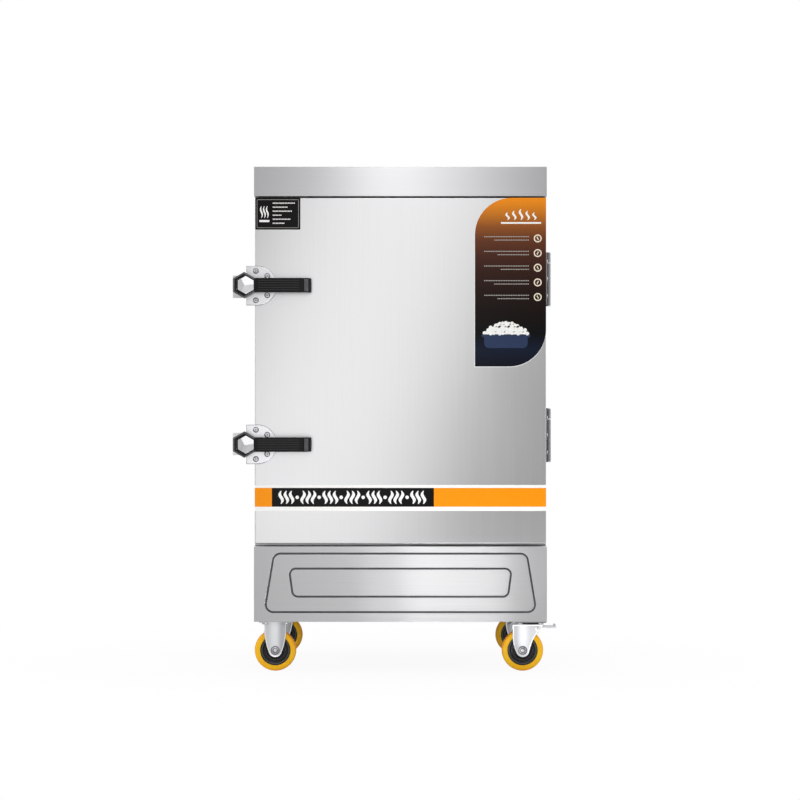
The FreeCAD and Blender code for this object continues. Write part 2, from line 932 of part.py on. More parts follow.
def water_tank():
    pan = shell(
        "tank_pan", both("tank_half_width"), ("tank_front", "tank_back"), ("tank_bottom", "liner_bottom"),
        "sheet", "+z",
    )
    rim = cut(
        "tank_rim",
        box(
            "rim_outer", both("tank_half_width + tank_flange"),
            ("tank_front - tank_flange", "tank_back + tank_flange"), ("liner_bottom - sheet", "liner_bottom"),
        ),
        box(
            "rim_hollow", both("tank_half_width - sheet"), ("tank_front + sheet", "tank_back - sheet"),
            ("liner_bottom - sheet", "liner_bottom"),
        ),
    )
    tank = cut(
        "tank",
        fuse("tank_with_rim", pan, rim),
        rod(
            "tank_drain_hole", "y", "drain_radius - pipe_wall", "tank_back - sheet", "tank_back",
            ("0 - drain_x", "drain_z"),
        ),
        rod(
            "tank_feed_hole", "y", "feed_radius - pipe_wall", "tank_back - sheet", "tank_back",
            ("feed_x", "feed_z"),
        ),
        box(
            "tank_heater_hole", both("flange_half_width - flange_lap"), ("tank_back - sheet", "tank_back"),
            ("element_z - flange_half_height + flange_lap", "element_z + flange_half_height - flange_lap"),
        ),
    )
    node("water_tank", tank)


def steam_plate():
    plate = body("steam_plate_body")
    half_x = "tank_half_width + plate_lap"
    half_y = "(tank_back - tank_front) / 2 + plate_lap"
    pad(plate, sketch(plate, "XY_Plane", rectangle(both(half_x), both(half_y))), "sheet")
    first_x = "0 - (plate_hole_columns - 1) * plate_hole_pitch / 2"
    first_y = "0 - (plate_hole_rows - 1) * plate_hole_pitch / 2"
    count = int(value("plate_hole_columns"))
    row = [
        (f"{first_x} + {index} * plate_hole_pitch", first_y, "plate_hole_radius") for index in range(count)
    ]
    holes = pocket(plate, sketch(plate, "XY_Plane", *row), "sheet", back=True)
    rows = plate.newObject("PartDesign::LinearPattern", "steam_plate_rows")
    rows.Originals = [holes]
    rows.Direction = (datum(plate, "Y_Axis"), [""])
    rows.Mode = "Spacing"
    bind(rows, Offset="plate_hole_pitch", Occurrences="plate_hole_rows")
    plate.Tip = rows
    node("steam_plate", plate, 0, "tank_middle", "chamber_floor")


def heater():
    """Hairpin elements in the water, carried by a flange on the tank's back wall."""
    elements = []
    bores = []
    flange_back = "tank_back + flange_gauge"
    tail = f"{flange_back} + element_tail"
    bend_y = "tank_front + element_front_set"
    for index in range(int(value("element_count"))):
        middle = f"({index} - (element_count - 1) / 2) * element_pitch"
        legs = [f"{middle} {sign} element_spread / 2" for sign in "-+"]
        tag = f"element_{index}"
        bend = doc.addObject("Part::Torus", tag + "_bend")
        bind(bend, Radius1="element_spread / 2", Radius2="element_radius")
        bend.Angle3 = 180
        bend.Placement = Placement(Vector(), Rotation(Vector(0, 0, 1), 180))
        put(bend, middle, bend_y, "element_z")
        straight = [
            rod(f"{tag}_leg_{end}", "y", "element_radius", bend_y, tail, (leg, "element_z"))
            for end, leg in enumerate(legs)
        ]
        elements.append(fuse(tag, bend, *straight))
        bores += [
            rod(
                f"{tag}_bore_{end}", "y", "element_radius + running_gap", "tank_back", flange_back,
                (leg, "element_z"),
            )
            for end, leg in enumerate(legs)
        ]
    plate = box(
        "heater_plate", both("flange_half_width"), ("tank_back", flange_back),
        ("element_z - flange_half_height", "element_z + flange_half_height"),
    )
    node("heater", group("heater_unit", *elements, cut("heater_flange", plate, *bores)))


def terminal_cover():
    """The sheet cover over the heater's ends and the gland for its cable."""
    pan = shell(
        "cover_pan", both("cover_half_width"), ("back", "cover_back"), ("cover_bottom", "cover_top"),
        "sheet", "-y",
    )
    at = ("gland_x", "back + cover_depth / 2")
    neck_radius = "gland_radius - gland_wall"
    foot = "cover_bottom - gland_length"
    top = "cover_bottom + gland_neck"
    hole = rod("cover_gland_hole", "z", neck_radius, "cover_bottom", "cover_bottom + sheet", at)
    node("terminal_cover", cut("cover", pan, hole))
    nut = rod("gland_nut", "z", "gland_radius", foot, "cover_bottom", at)
    neck = rod("gland_neck", "z", neck_radius, "cover_bottom", top, at)
    bore = rod("gland_hole", "z", "gland_bore", foot, top, at)
    node("cable_gland", cut("gland", fuse("gland_body", nut, neck), bore))


def float_box():
    tank = cut(
        "float_box_tank",
        shell(
            "float_box_shell", ("float_box_left", "float_box_right"), ("back", "float_box_back"),
            ("float_box_bottom", "float_box_top"), "sheet", "+z",
        ),
        rod("float_box_feed_hole", "y", "feed_radius", "back", "back + sheet", ("feed_x", "feed_z")),
        rod(
            "float_box_nipple_hole", "x", "nipple_neck", "float_box_right - sheet", "float_box_right",
            ("float_y", "valve_z"),
        ),
    )
    at = ("feed_x", "feed_z")
    pipe = cut(
        "feed_tube",
        rod("feed_outer", "y", "feed_radius", "tank_back", "back + feed_tail", at),
        rod("feed_inner", "y", "feed_radius - pipe_wall", "tank_back", "back + feed_tail", at),
    )
    node("float_box", group("float_box_and_pipe", tank, pipe))
    skirt = "(lid_gap + sheet)"
    lid = shell(
        "lid", (f"float_box_left - {skirt}", f"float_box_right + {skirt}"),
        ("back + fit_gap", f"float_box_back + {skirt}"),
        ("float_box_top - lid_height", "float_box_top + sheet"), "sheet", "-z",
    )
    rear_strip = box(
        "lid_rear_strip", ("float_box_left - lid_gap", "float_box_right + lid_gap"),
        ("back", "back + fit_gap + sheet"), ("float_box_top - lid_height", "float_box_top"),
    )
    node("float_box_lid", cut("float_box_cover", lid, rear_strip))


def float_valve():
    at = ("float_y", "valve_z")
    wall = "float_box_right"
    block = rod("valve_block", "x", "valve_radius", "valve_face", f"{wall} - sheet", at)
    neck = rod("valve_neck", "x", "nipple_neck", f"{wall} - sheet", wall, at)
    nipple = rod("valve_nipple", "x", "nipple_radius", wall, f"{wall} + nipple_length", at)
    bore = rod("valve_bore", "x", "nipple_bore", f"{wall} - sheet", f"{wall} + nipple_length", at)
    lug = box(
        "valve_lug", ("float_pivot_x - lug_half", "valve_face"),
        ("float_y - lug_half", "float_y + lug_half"), ("valve_z - lug_half", "valve_z + lug_half"),
    )
    slot_half = "(float_arm_radius + fit_gap)"
    slot = box(
        "valve_slot", ("float_pivot_x - lug_half", "valve_face - lug_slot_back"),
        (f"float_y - {slot_half}", f"float_y + {slot_half}"), ("valve_z - lug_half", "valve_z + lug_half"),
    )
    pin = rod(
        "valve_pin", "y", "float_pin_radius", "float_y - lug_half", "float_y + lug_half",
        ("float_pivot_x", "valve_z"),
    )
    valve = cut("valve", fuse("valve_body", block, neck, nipple, lug), bore, slot)
    node("float_valve", fuse("valve_with_pin", valve, pin))


def float_arm():
    """The drooping arm on the valve's pin and the hollow ball at its end."""
    arm = body("float_body")
    slope = "float_droop * 1 deg"
    end_x = f"0 - float_arm_length * cos({slope})"
    end_z = f"0 - float_arm_length * sin({slope})"
    lift_x = f"float_arm_radius * sin({slope})"
    lift_z = f"float_arm_radius * cos({slope})"
    outline = [
        (f"0 - ({lift_x})", lift_z),
        (f"{end_x} - {lift_x}", f"{end_z} + {lift_z}"),
        (f"{end_x} + {lift_x}", f"{end_z} - {lift_z}"),
        (lift_x, f"0 - ({lift_z})"),
    ]
    strip = sketch(arm, "XZ_Plane", outline)
    pad(arm, strip, "float_arm_radius * 2", middle=True)
    pad(arm, sketch(arm, "XZ_Plane", (0, 0, "float_eye_radius")), "float_arm_radius * 2", middle=True)
    hole = sketch(arm, "XZ_Plane", (0, 0, "float_pin_radius + running_gap"))
    pocket(arm, hole, "float_arm_radius * 4", middle=True)
    put(arm, "float_pivot_x", "float_y", "valve_z")
    ball = doc.addObject("Part::Sphere", "float_sphere")
    bind(ball, Radius="float_radius")
    hollow = doc.addObject("Part::Sphere", "float_hollow")
    bind(hollow, Radius="float_radius - sheet")
    ball_x = f"float_pivot_x - (float_arm_length + float_radius) * cos({slope})"
    ball_z = f"valve_z - (float_arm_length + float_radius) * sin({slope})"
    ball = put(cut("float_shell", ball, hollow), ball_x, "float_y", ball_z)
    node("float_arm", group("float_parts", arm, ball))


def drain():
    """The drain pipe with its ball valve, and the lever that turns it."""
    line = ("0 - drain_x", "drain_z")
    stem_at = ("0 - drain_x", "drain_valve_y")
    stem_foot = "drain_z + drain_radius + stem_foot"
    inside = "drain_radius - pipe_wall"
    pipe = rod("drain_tube", "y", "drain_radius", "tank_back", "drain_pipe_back", line)
    casting = rod(
        "drain_valve", "y", "valve_body_radius", "back + valve_body_set",
        "back + valve_body_set + valve_body_length", line,
    )
    neck_top = "drain_stem_top - stem_neck_drop"
    neck = rod("drain_neck", "z", "stem_radius + stem_wall", "drain_z", neck_top, stem_at)
    bore = rod("drain_bore", "y", inside, "tank_back", "drain_pipe_back", line)
    plug = rod("drain_plug", "y", inside, "drain_valve_y - plug_half", "drain_valve_y + plug_half", line)
    stem_hole = rod("drain_stem_hole", "z", "stem_radius + running_gap", stem_foot, "drain_stem_top", stem_at)
    tube = cut("drain_hollow", fuse("drain_casting", pipe, casting, neck), bore)
    node("drain_valve", cut("drain_body", fuse("drain_plugged", tube, plug), stem_hole))
    half = "drain_lever_width / 2"
    blade = ("drain_stem_top - drain_lever_gauge", "drain_stem_top")
    stem = rod("lever_stem", "z", "stem_radius", f"{stem_foot} + fit_gap", "drain_stem_top", stem_at)
    arm = box(
        "lever_arm", ("0 - drain_x", "0 - drain_x + drain_lever_length"),
        (f"drain_valve_y - {half}", f"drain_valve_y + {half}"), blade,
    )
    head = rod("lever_head", "z", half, *blade, stem_at)
    node("drain_lever", fuse("drain_handle", stem, arm, head))


def steam_vent():
    line = (0, "vent_z")
    pipe = rod("vent_outer", "y", "vent_radius", "chamber_back", "vent_back", line)
    collar = rod("vent_collar", "y", "vent_collar", "back", "back + vent_collar_gauge", line)
    bore = rod("vent_bore", "y", "vent_radius - pipe_wall", "chamber_back", "vent_back", line)
    node("steam_vent_pipe", cut("vent_pipe", fuse("vent_solid", pipe, collar), bore))


# Racks and trays


def shelf_z(index):
    """The height of one runner's top face."""
    return f"shelf + {index} * tray_pitch"


def tray_rack(name, sign):
    """The two posts and the angle runners of one side; sign is -1 on the left."""
    def span(near_edge, far_edge):
        """A pair of places measured inwards from this side's liner wall."""
        if sign < 0:
            return (f"0 - chamber_half + {near_edge}", f"0 - chamber_half + {far_edge}")
        return (f"chamber_half - ({far_edge})", f"chamber_half - ({near_edge})")

    half = "runner_length / 2"
    middle = "tray_middle"
    pieces = []
    for place in ("0 - runner_length / 3", "runner_length / 3"):
        start = f"{middle} + {place} - post_width / 2"
        pieces.append(box(
            f"{name}_post_{len(pieces)}", span(0, "post_gauge"), (start, f"{start} + post_width"),
            ("chamber_floor", "post_top"),
        ))
    for index in range(int(value("tray_count"))):
        top = shelf_z(index)
        along = (f"{middle} - {half}", f"{middle} + {half}")
        shelf_plate = box(
            f"{name}_shelf_{index}", span("post_gauge", "post_gauge + runner_leg"), along,
            (f"{top} - runner_gauge", top),
        )
        hanging_leg = box(
            f"{name}_leg_{index}", span("post_gauge", "post_gauge + runner_gauge"), along,
            (f"{top} - runner_leg", top),
        )
        pieces.append(fuse(f"{name}_runner_{index}", shelf_plate, hanging_leg))
    return pieces


def tray_racks():
    node("tray_racks", group("rack_pair", *tray_rack("left_rack", -1), *tray_rack("right_rack", 1)))


def rounded(half_x, half_y, radius):
    """A rectangle about the middle with round corners."""
    return [
        (f"0 - ({half_x}) + ({radius})", f"0 - ({half_y})"),
        (f"{half_x} - ({radius})", f"0 - ({half_y})", radius),
        (half_x, f"0 - ({half_y}) + ({radius})"),
        (half_x, f"{half_y} - ({radius})", radius),
        (f"{half_x} - ({radius})", half_y),
        (f"0 - ({half_x}) + ({radius})", half_y, radius),
        (f"0 - ({half_x})", f"{half_y} - ({radius})"),
        (f"0 - ({half_x})", f"0 - ({half_y}) + ({radius})", radius),
    ]


def tray_outline(inset):
    """A tray's outline, moved inwards from its rim."""
    return rounded(
        f"tray_width / 2 - ({inset})", f"tray_length / 2 - ({inset})", f"tray_corner + tray_rim - ({inset})",
    )


def trays():
    """One deep-drawn tray, and a copy of it on every shelf."""
    inside = body("tray_inside")
    mouth = tray_outline("tray_rim + tray_gauge")
    pad(inside, sketch(inside, "XY_Plane", mouth, height="tray_gauge"), "tray_depth")
    floor = value("tray_gauge")
    soften(inside, "tray_foot - tray_gauge", lambda edge: near(edge, "z", floor))
    tray = body("tray_body")
    pad(tray, sketch(tray, "XY_Plane", tray_outline("tray_rim")), "tray_depth")
    soften(tray, "tray_foot", lambda edge: near(edge, "z", 0))
    pad(tray, sketch(tray, "XY_Plane", tray_outline(0), height="tray_depth - tray_gauge"), "tray_gauge")
    hollow = tray.newObject("PartDesign::Boolean", "tray_hollow")
    hollow.Type = "Cut"
    hollow.addObjects([inside])
    doc.recompute()
    for index in range(int(value("tray_count"))):
        node(f"tray_{index + 1}", group(f"tray_copy_{index}", tray), 0, "tray_middle", shelf_z(index))


# Door


def door_shell():
    skin = body("door_skin_panel")
    across = rectangle(both("door_half"), (0, "door_height"))
    pad(skin, sketch(skin, "XZ_Plane", across), "door_depth", back=True)
    soften(skin, "bend_radius", lambda edge: runs_along(edge, "y") or near(edge, "y", 0))
    hollow = rectangle(both("door_half - sheet"), ("sheet", "door_height - sheet"))
    pocket(skin, sketch(skin, "XZ_Plane", hollow, height="0 - sheet"), "door_depth")
    node("door_skin", skin, 0, "front", "door_bottom")

    inner = ("door_bottom + sheet", "door_top - sheet")
    bulge_half = "chamber_half - bulge_set"
    bulge_z = ("opening_bottom + bulge_set", "opening_top - bulge_set")
    plate = box("liner_plate", both("door_half - sheet"), ("door_back - sheet", "door_back"), inner)
    bulge = box("liner_bulge", both(bulge_half), ("door_back - sheet", "door_back + door_bulge"), bulge_z)
    hollow = box(
        "liner_bulge_hollow", both(f"{bulge_half} - sheet"),
        ("door_back - sheet", "door_back + door_bulge - sheet"),
        (f"{bulge_z[0]} + sheet", f"{bulge_z[1]} - sheet"),
    )
    node("door_liner", cut("door_inner", fuse("door_inner_solid", plate, bulge), hollow))
    block = box("door_foam", both("door_half - sheet"), ("front + sheet", "door_back - sheet"), inner)
    filled_bulge = box(
        "door_foam_bulge", both(f"{bulge_half} - sheet"), ("front + sheet", "door_back + door_bulge - sheet"),
        (f"{bulge_z[0]} + sheet", f"{bulge_z[1]} - sheet"),
    )
    node("door_insulation", fuse("door_filling", block, filled_bulge))


def door_gasket():
    seal = cut(
        "seal",
        box(
            "seal_outer", both("gasket_half + gasket_width"), ("door_back", "carcass_front - fit_gap"),
            ("gasket_bottom - gasket_width", "gasket_top + gasket_width"),
        ),
        box(
            "seal_hollow", both("gasket_half"), ("door_back", "carcass_front - fit_gap"),
            ("gasket_bottom", "gasket_top"),
        ),
    )
    node("door_gasket", seal)


def door_films():
    """The coloured band, the corner label and the big sticker, each a printed film."""
    band = box(
        "band_film", both("door_half"), ("front - film", "front"),
        ("band_bottom", "band_bottom + band_height"),
    )
    label_x = "0 - door_half + label_left"
    label = box(
        "label_film", (label_x, f"{label_x} + label_width"), ("front - film", "front"),
        ("door_top - label_height", "door_top"),
    )
    sticker = body("sticker_film")
    pad(sticker, sketch(sticker, "XZ_Plane", [
        (0, 0),
        ("sticker_width - sticker_corner", 0, "sticker_corner"),
        ("sticker_width", "sticker_corner"),
        ("sticker_width", "sticker_height"),
        ("sticker_corner", "sticker_height", "sticker_corner"),
        (0, "sticker_height - sticker_corner"),
    ]), "film")
    put(sticker, "door_half - sticker_width", "front", "door_top - sticker_height")
    node("door_films", group("films", band, label, sticker))


# Hinges: a butt hinge of three knuckles on the right side, twice

HINGES = {"upper": "hinge_upper", "lower": "hinge_lower"}


def hinge_levels(middle):
    """The heights of one hinge: foot, top of the bottom knuckle, door knuckle, washer and top knuckle."""
    foot = f"{middle} - hinge_height / 2"
    seam = "fit_gap"
    bottom_top = f"{foot} + bottom_knuckle"
    door_foot = f"{bottom_top} + {seam}"
    door_top = f"{door_foot} + door_knuckle"
    washer_foot = f"{door_top} + {seam}"
    washer_top = f"{washer_foot} + washer_height"
    return {
        "cabinet": [(foot, bottom_top), (washer_top, f"{middle} + hinge_height / 2")],
        "door": [(door_foot, door_top)],
        "washer": (washer_foot, washer_top),
        "whole": (foot, f"{middle} + hinge_height / 2"),
    }


def hinge_leaf(name, owner, middle, plate_x, plate_y, link_y):
    """One leaf: its plate, its knuckles and the links that join them."""
    levels = hinge_levels(middle)
    axis = ("hinge_x", "hinge_y")
    pieces = [box(name + "_plate", plate_x, plate_y, levels["whole"])]
    for index, (low, high) in enumerate(levels[owner]):
        pieces.append(rod(f"{name}_knuckle_{index}", "z", "barrel_radius", low, high, axis))
        pieces.append(box(
            f"{name}_link_{index}", (plate_x[0], "hinge_x - pin_radius"), link_y, (low, high),
        ))
    bore = rod(name + "_bore", "z", "pin_radius + running_gap", *levels["whole"], axis)
    holes = [
        rod(f"{name}_hole_{index}", "x", "screw_radius", plate_x[0], plate_x[1], across)
        for index, across in enumerate(leaf_screws(middle, plate_y))
    ]
    return cut(name, fuse(name + "_solid", *pieces), bore, *holes)


def leaf_screws(middle, plate_y):
    """Three screws down the middle of a leaf."""
    spread = "hinge_height / 3"
    across = f"(({plate_y[0]}) + ({plate_y[1]})) / 2"
    return [(across, f"{middle} + {step} * {spread}") for step in (-1, 0, 1)]


CABINET_LEAF_Y = ("hinge_y + leaf_set", "hinge_y + leaf_set + leaf_width")
DOOR_LEAF_Y = ("hinge_y - leaf_set - leaf_width", "hinge_y - leaf_set")


def hinges():
    cabinet_leaves = []
    door_leaves = []
    pins = []
    washers = []
    for name, middle in HINGES.items():
        cabinet_leaves.append(hinge_leaf(
            f"{name}_cabinet_leaf", "cabinet", middle, ("side", "side + leaf_gauge"), CABINET_LEAF_Y,
            ("hinge_y", "hinge_y + leaf_set"),
        ))
        door_leaves.append(hinge_leaf(
            f"{name}_door_leaf", "door", middle, ("door_half", "door_half + leaf_gauge"), DOOR_LEAF_Y,
            ("hinge_y - leaf_set", "hinge_y"),
        ))
        levels = hinge_levels(middle)
        axis = ("hinge_x", "hinge_y")
        low, high = levels["whole"]
        pins.append(fuse(
            f"{name}_pin",
            rod(f"{name}_pin_shaft", "z", "pin_radius", low, high, axis),
            rod(f"{name}_pin_foot", "z", "pin_cap_radius", f"{low} - pin_cap", low, axis),
            rod(f"{name}_pin_head", "z", "pin_cap_radius", high, f"{high} + pin_cap", axis),
        ))
        low, high = levels["washer"]
        washers.append(cut(
            f"{name}_washer",
            rod(f"{name}_washer_outer", "z", "washer_radius", low, high, axis),
            rod(f"{name}_washer_bore", "z", "pin_radius + running_gap", low, high, axis),
        ))
    node("hinge_leaves_cabinet", group("cabinet_leaves", *cabinet_leaves))
    node("hinge_leaves_door", group("door_leaves", *door_leaves))
    node("hinge_pins", group("pins", *pins))
    node("hinge_washers", group("washers", *washers))


# Latches: a cast base on the door, a lever on a shaft with a tongue, a keeper on the cabinet

LATCHES = {"upper": "latch_upper", "lower": "latch_lower"}
BASE_SCREWS = [
    (f"base_{place}_screw_x", f"{sign} base_{place}_screw_z") for place in ("inner", "outer") for sign in "-+"
]


def latch_base(name, height):
    base = body(f"{name}_latch_base")
    half = "base_height / 2"
    plate = sketch(base, "XZ_Plane", [
        ("base_left", f"0 - {half}"),
        ("base_shoulder", f"0 - {half}", half),
        (f"base_shoulder + {half}", 0, half),
        ("base_shoulder", half),
        ("base_left", half),
    ])
    pad(base, plate, "base_gauge")
    face = value("0 - base_gauge")
    soften(base, "base_round", lambda edge: near(edge, "y", face))
    pad(base, sketch(base, "XZ_Plane", (0, 0, "boss_radius")), "boss_height")
    boss_face = value("0 - boss_height")
    soften(base, "base_round", lambda edge: near(edge, "y", boss_face))
    pad(base, sketch(base, "XZ_Plane", (0, 0, "sleeve_radius")), "barrel_length", back=True)
    bore = sketch(base, "XZ_Plane", (0, 0, "shaft_radius + running_gap"), height="boss_height")
    pocket(base, bore, "boss_height + barrel_length")
    holes = [(x, f"0 {z}", "screw_radius") for x, z in BASE_SCREWS]
    pocket(base, sketch(base, "XZ_Plane", *holes, height="base_gauge"), "base_gauge")
    return put(base, "latch_x", "front", height)


def latch_lever(name, height):
    lever = body(f"{name}_lever_body")
    pad(lever, sketch(lever, "XZ_Plane", hexagon("hub_flats"), height="hub_back"), "hub_depth")
    hub_face = value("0 - hub_front")
    soften(lever, "hub_chamfer", lambda edge: near(edge, "y", hub_face), chamfer=True)
    bar = sketch(lever, "XY_Plane", [
        (0, "0 - lever_front"),
        ("lever_length - lever_bend", "0 - lever_front", "lever_bend"),
        ("lever_length", "0 - lever_front + lever_bend"),
        ("lever_length", "0 - lever_tip_gap"),
        ("lever_length - lever_gauge", "0 - lever_tip_gap"),
        ("lever_length - lever_gauge", "0 - lever_front + lever_bend", "0 - (lever_bend - lever_gauge)"),
        ("lever_length - lever_bend", "0 - lever_back"),
        (0, "0 - lever_back"),
    ])
    pad(lever, bar, "lever_height", middle=True)
    half = value("lever_height / 2")
    length = value("lever_length")
    hub_side = value("hub_flats / 2 - fit_gap")

    def bar_edge(edge):
        on_side = near(edge, "z", half) or near(edge, "z", -half)
        at_tip = near(edge, "x", length) and runs_along(edge, "z")
        return at_tip or (on_side and edge.BoundBox.XMin > hub_side)

    soften(lever, "lever_round", bar_edge)
    ribs = []
    for index in range(int(value("rib_count"))):
        low = f"({index} - (rib_count - 1) / 2) * rib_pitch - rib_width / 2"
        ribs.append(rectangle(
            ("hub_flats / 2 + rib_start", "lever_length - lever_bend - rib_end"), (low, f"{low} + rib_width"),
        ))
    pocket(lever, sketch(lever, "XZ_Plane", *ribs, height="lever_front"), "rib_depth")
    recess = sketch(lever, "XZ_Plane", hexagon("cap_flats + fit_gap * 2"), height="hub_front")
    pocket(lever, recess, "cap_seat")
    socket = sketch(lever, "XZ_Plane", (0, 0, "shaft_radius + running_gap"), height="hub_front - cap_seat")
    pocket(lever, socket, "hub_depth - cap_seat")
    node(f"{name}_latch_lever", lever, "latch_x", "front", height)


def latch_cap(name, height):
    """The faceted hexagon on the end of a latch's shaft."""
    cap = body(f"{name}_cap_body")
    seat = "hub_front - cap_seat"
    pad(cap, sketch(cap, "XZ_Plane", hexagon("cap_flats"), height=seat), "cap_seat + cap_edge")
    face = sketch(cap, "XZ_Plane", hexagon("cap_flats"), height="hub_front + cap_edge")
    apex = sketch(
        cap, "XZ_Plane", hexagon("cap_apex_flats", "0 - cap_apex_x", "cap_apex_z"),
        height="hub_front + cap_edge + cap_rise",
    )
    facets = cap.newObject("PartDesign::AdditiveLoft", f"{name}_facets")
    facets.Profile = face
    facets.Sections = [apex]
    facets.Ruled = True
    doc.recompute()
    return put(cap, "latch_x", "front", height)


def latch_shaft(name, height):
    """A latch's spindle, with the tongue at its back and the cap at its front."""
    across = ("latch_x", height)
    tongue_y = ("tongue_front", "tongue_front + tongue_gauge")
    spindle = rod(
        f"{name}_spindle", "y", "shaft_radius", "front - hub_front + cap_seat", tongue_y[1], across,
    )
    tongue = box(
        f"{name}_tongue", ("latch_x - tongue_length / 2", "latch_x + tongue_length / 2"), tongue_y,
        (f"{height} - tongue_width / 2", f"{height} + tongue_width / 2"),
    )
    node(f"{name}_latch_shaft", fuse(f"{name}_shaft", spindle, tongue, latch_cap(name, height)))


def keeper_screws(height):
    """The two screws of a keeper's foot."""
    return [("keeper_front + keeper_screw_set", f"{height} {sign} keeper_height / 4") for sign in "-+"]


def keeper(name, height):
    tall = (f"{height} - keeper_height / 2", f"{height} + keeper_height / 2")
    face = box(
        f"{name}_face", ("0 - side - keeper_reach", "0 - side"), ("keeper_front", "keeper_back"), tall,
    )
    foot = box(
        f"{name}_foot", ("0 - side - keeper_foot_gauge", "0 - side"),
        ("keeper_front", "keeper_front + keeper_foot"), tall,
    )
    slot_half = "(shaft_radius + slot_gap)"
    slot_tall = "(tongue_length / 2 + slot_gap)"
    slot = box(
        f"{name}_slot", (f"latch_x - {slot_half}", f"latch_x + {slot_half}"), ("keeper_front", "keeper_back"),
        (f"{height} - {slot_tall}", f"{height} + {slot_tall}"),
    )
    holes = [
        rod(
            f"{name}_keeper_hole_{index}", "x", "screw_radius", "0 - side - keeper_foot_gauge", "0 - side",
            across,
        )
        for index, across in enumerate(keeper_screws(height))
    ]
    return cut(f"{name}_keeper", fuse(f"{name}_keeper_solid", face, foot), slot, *holes)


def latches():
    bases = []
    keepers = []
    for name, height in LATCHES.items():
        bases.append(latch_base(name, height))
        keepers.append(keeper(name, height))
        latch_lever(name, height)
        latch_shaft(name, height)
    node("latch_bases", group("bases", *bases))
    node("latch_keepers", group("keepers", *keepers))


# Screws and bolts


def caster_bolts():
    """The bolts that hold the four caster plates to the underframe."""
    bolts = []
    for name, (x, y) in CASTERS.items():
        for index, across in enumerate(bolt_places(x, y)):
            tag = f"{name}_bolt_{index}"
            frame_top = "caster_height + frame_gauge"
            bolts.append(fuse(
                tag,
                rod(
                    tag + "_head", "z", "bolt_head_radius", "plate_bottom - bolt_head_height",
                    "plate_bottom", across,
                ),
                rod(tag + "_shank", "z", "bolt_radius", "plate_bottom", frame_top, across),
                rod(
                    tag + "_nut", "z", "bolt_head_radius", frame_top,
                    f"{frame_top} + bolt_head_height", across,
                ),
            ))
    node("caster_bolts", group("caster_bolt_set", *bolts))


def fixings():
    door = []
    cabinet = []
    for name, height in LATCHES.items():
        places = [(f"latch_x + {x}", f"{height} {z}") for x, z in BASE_SCREWS]
        door += screws(f"{name}_base_screw", places, "y", 1, "front - base_gauge")
        cabinet += screws(
            f"{name}_keeper_screw", keeper_screws(height), "x", 1, "0 - side - keeper_foot_gauge",
        )
    for name, middle in HINGES.items():
        door += screws(
            f"{name}_door_leaf_screw", leaf_screws(middle, DOOR_LEAF_Y), "x", -1, "door_half + leaf_gauge",
        )
        cabinet += screws(
            f"{name}_cabinet_leaf_screw", leaf_screws(middle, CABINET_LEAF_Y), "x", -1, "side + leaf_gauge",
        )
    node("door_screws", group("door_screw_set", *door))
    node("cabinet_screws", group("cabinet_screw_set", *cabinet))


# Casters


def caster_plate(tag, x, y):
    """A top plate with its four bolt holes."""
    plate = box(
        tag + "_plate", (f"{x} - plate_half_x", f"{x} + plate_half_x"),
        (f"{y} - plate_half_y", f"{y} + plate_half_y"), ("plate_bottom", "caster_height"),
    )
    holes = [
        rod(f"{tag}_plate_hole_{index}", "z", "bolt_radius + fit_gap", "plate_bottom", "caster_height", at)
        for index, at in enumerate(bolt_places(x, y))
    ]
    return cut(tag + "_drilled_plate", plate, *holes)


def fork_legs(tag, outline, x, y):
    """Two equal legs of sheet, one each side of the wheel."""
    legs = body(tag + "_legs")
    for side in (-1, 1):
        drawing = sketch(
            legs, "XZ_Plane", outline, height="fork_inner" if side > 0 else "0 - fork_outer",
        )
        pad(legs, drawing, "fork_gauge")
    return put(legs, x, y, 0)


def fixed_outline():
    """The side of a rigid fork, about the axle."""
    return [
        ("0 - tip_cos", "tyre_radius - tip_sin", "fork_tip_radius"),
        ("tip_cos", "tyre_radius - tip_sin", "fork_side_bend"),
        ("fork_half", "plate_bottom"),
        ("0 - fork_half", "plate_bottom", "fork_side_bend"),
    ]


def swivel_outline():
    """The side of a swivel fork, about the kingpin, with the axle at minus the trail."""
    return [
        ("0 - trail - tip_cos", "tyre_radius - tip_sin", "fork_tip_radius"),
        ("0 - trail + tip_cos", "tyre_radius - tip_sin", "0 - flare_bend"),
        ("crown_right", "crown_bottom"),
        ("crown_right", "crown_top"),
        ("0 - crown_left", "crown_top"),
        ("0 - crown_left", "left_edge_height", "left_bend"),
    ]


def axle(tag, x, y):
    """A bolt through the fork and the wheel's hub, with its head and nut outside."""
    at = (x, "tyre_radius")
    near_side = f"{y} - fork_outer"
    far_side = f"{y} + fork_outer"
    return fuse(
        tag + "_axle_bolt",
        rod(tag + "_axle_shank", "y", "axle_radius", near_side, far_side, at),
        rod(tag + "_axle_head", "y", "axle_head_radius", f"{near_side} - axle_head_height", near_side, at),
        rod(tag + "_axle_nut", "y", "axle_head_radius", far_side, f"{far_side} + axle_head_height", at),
    )


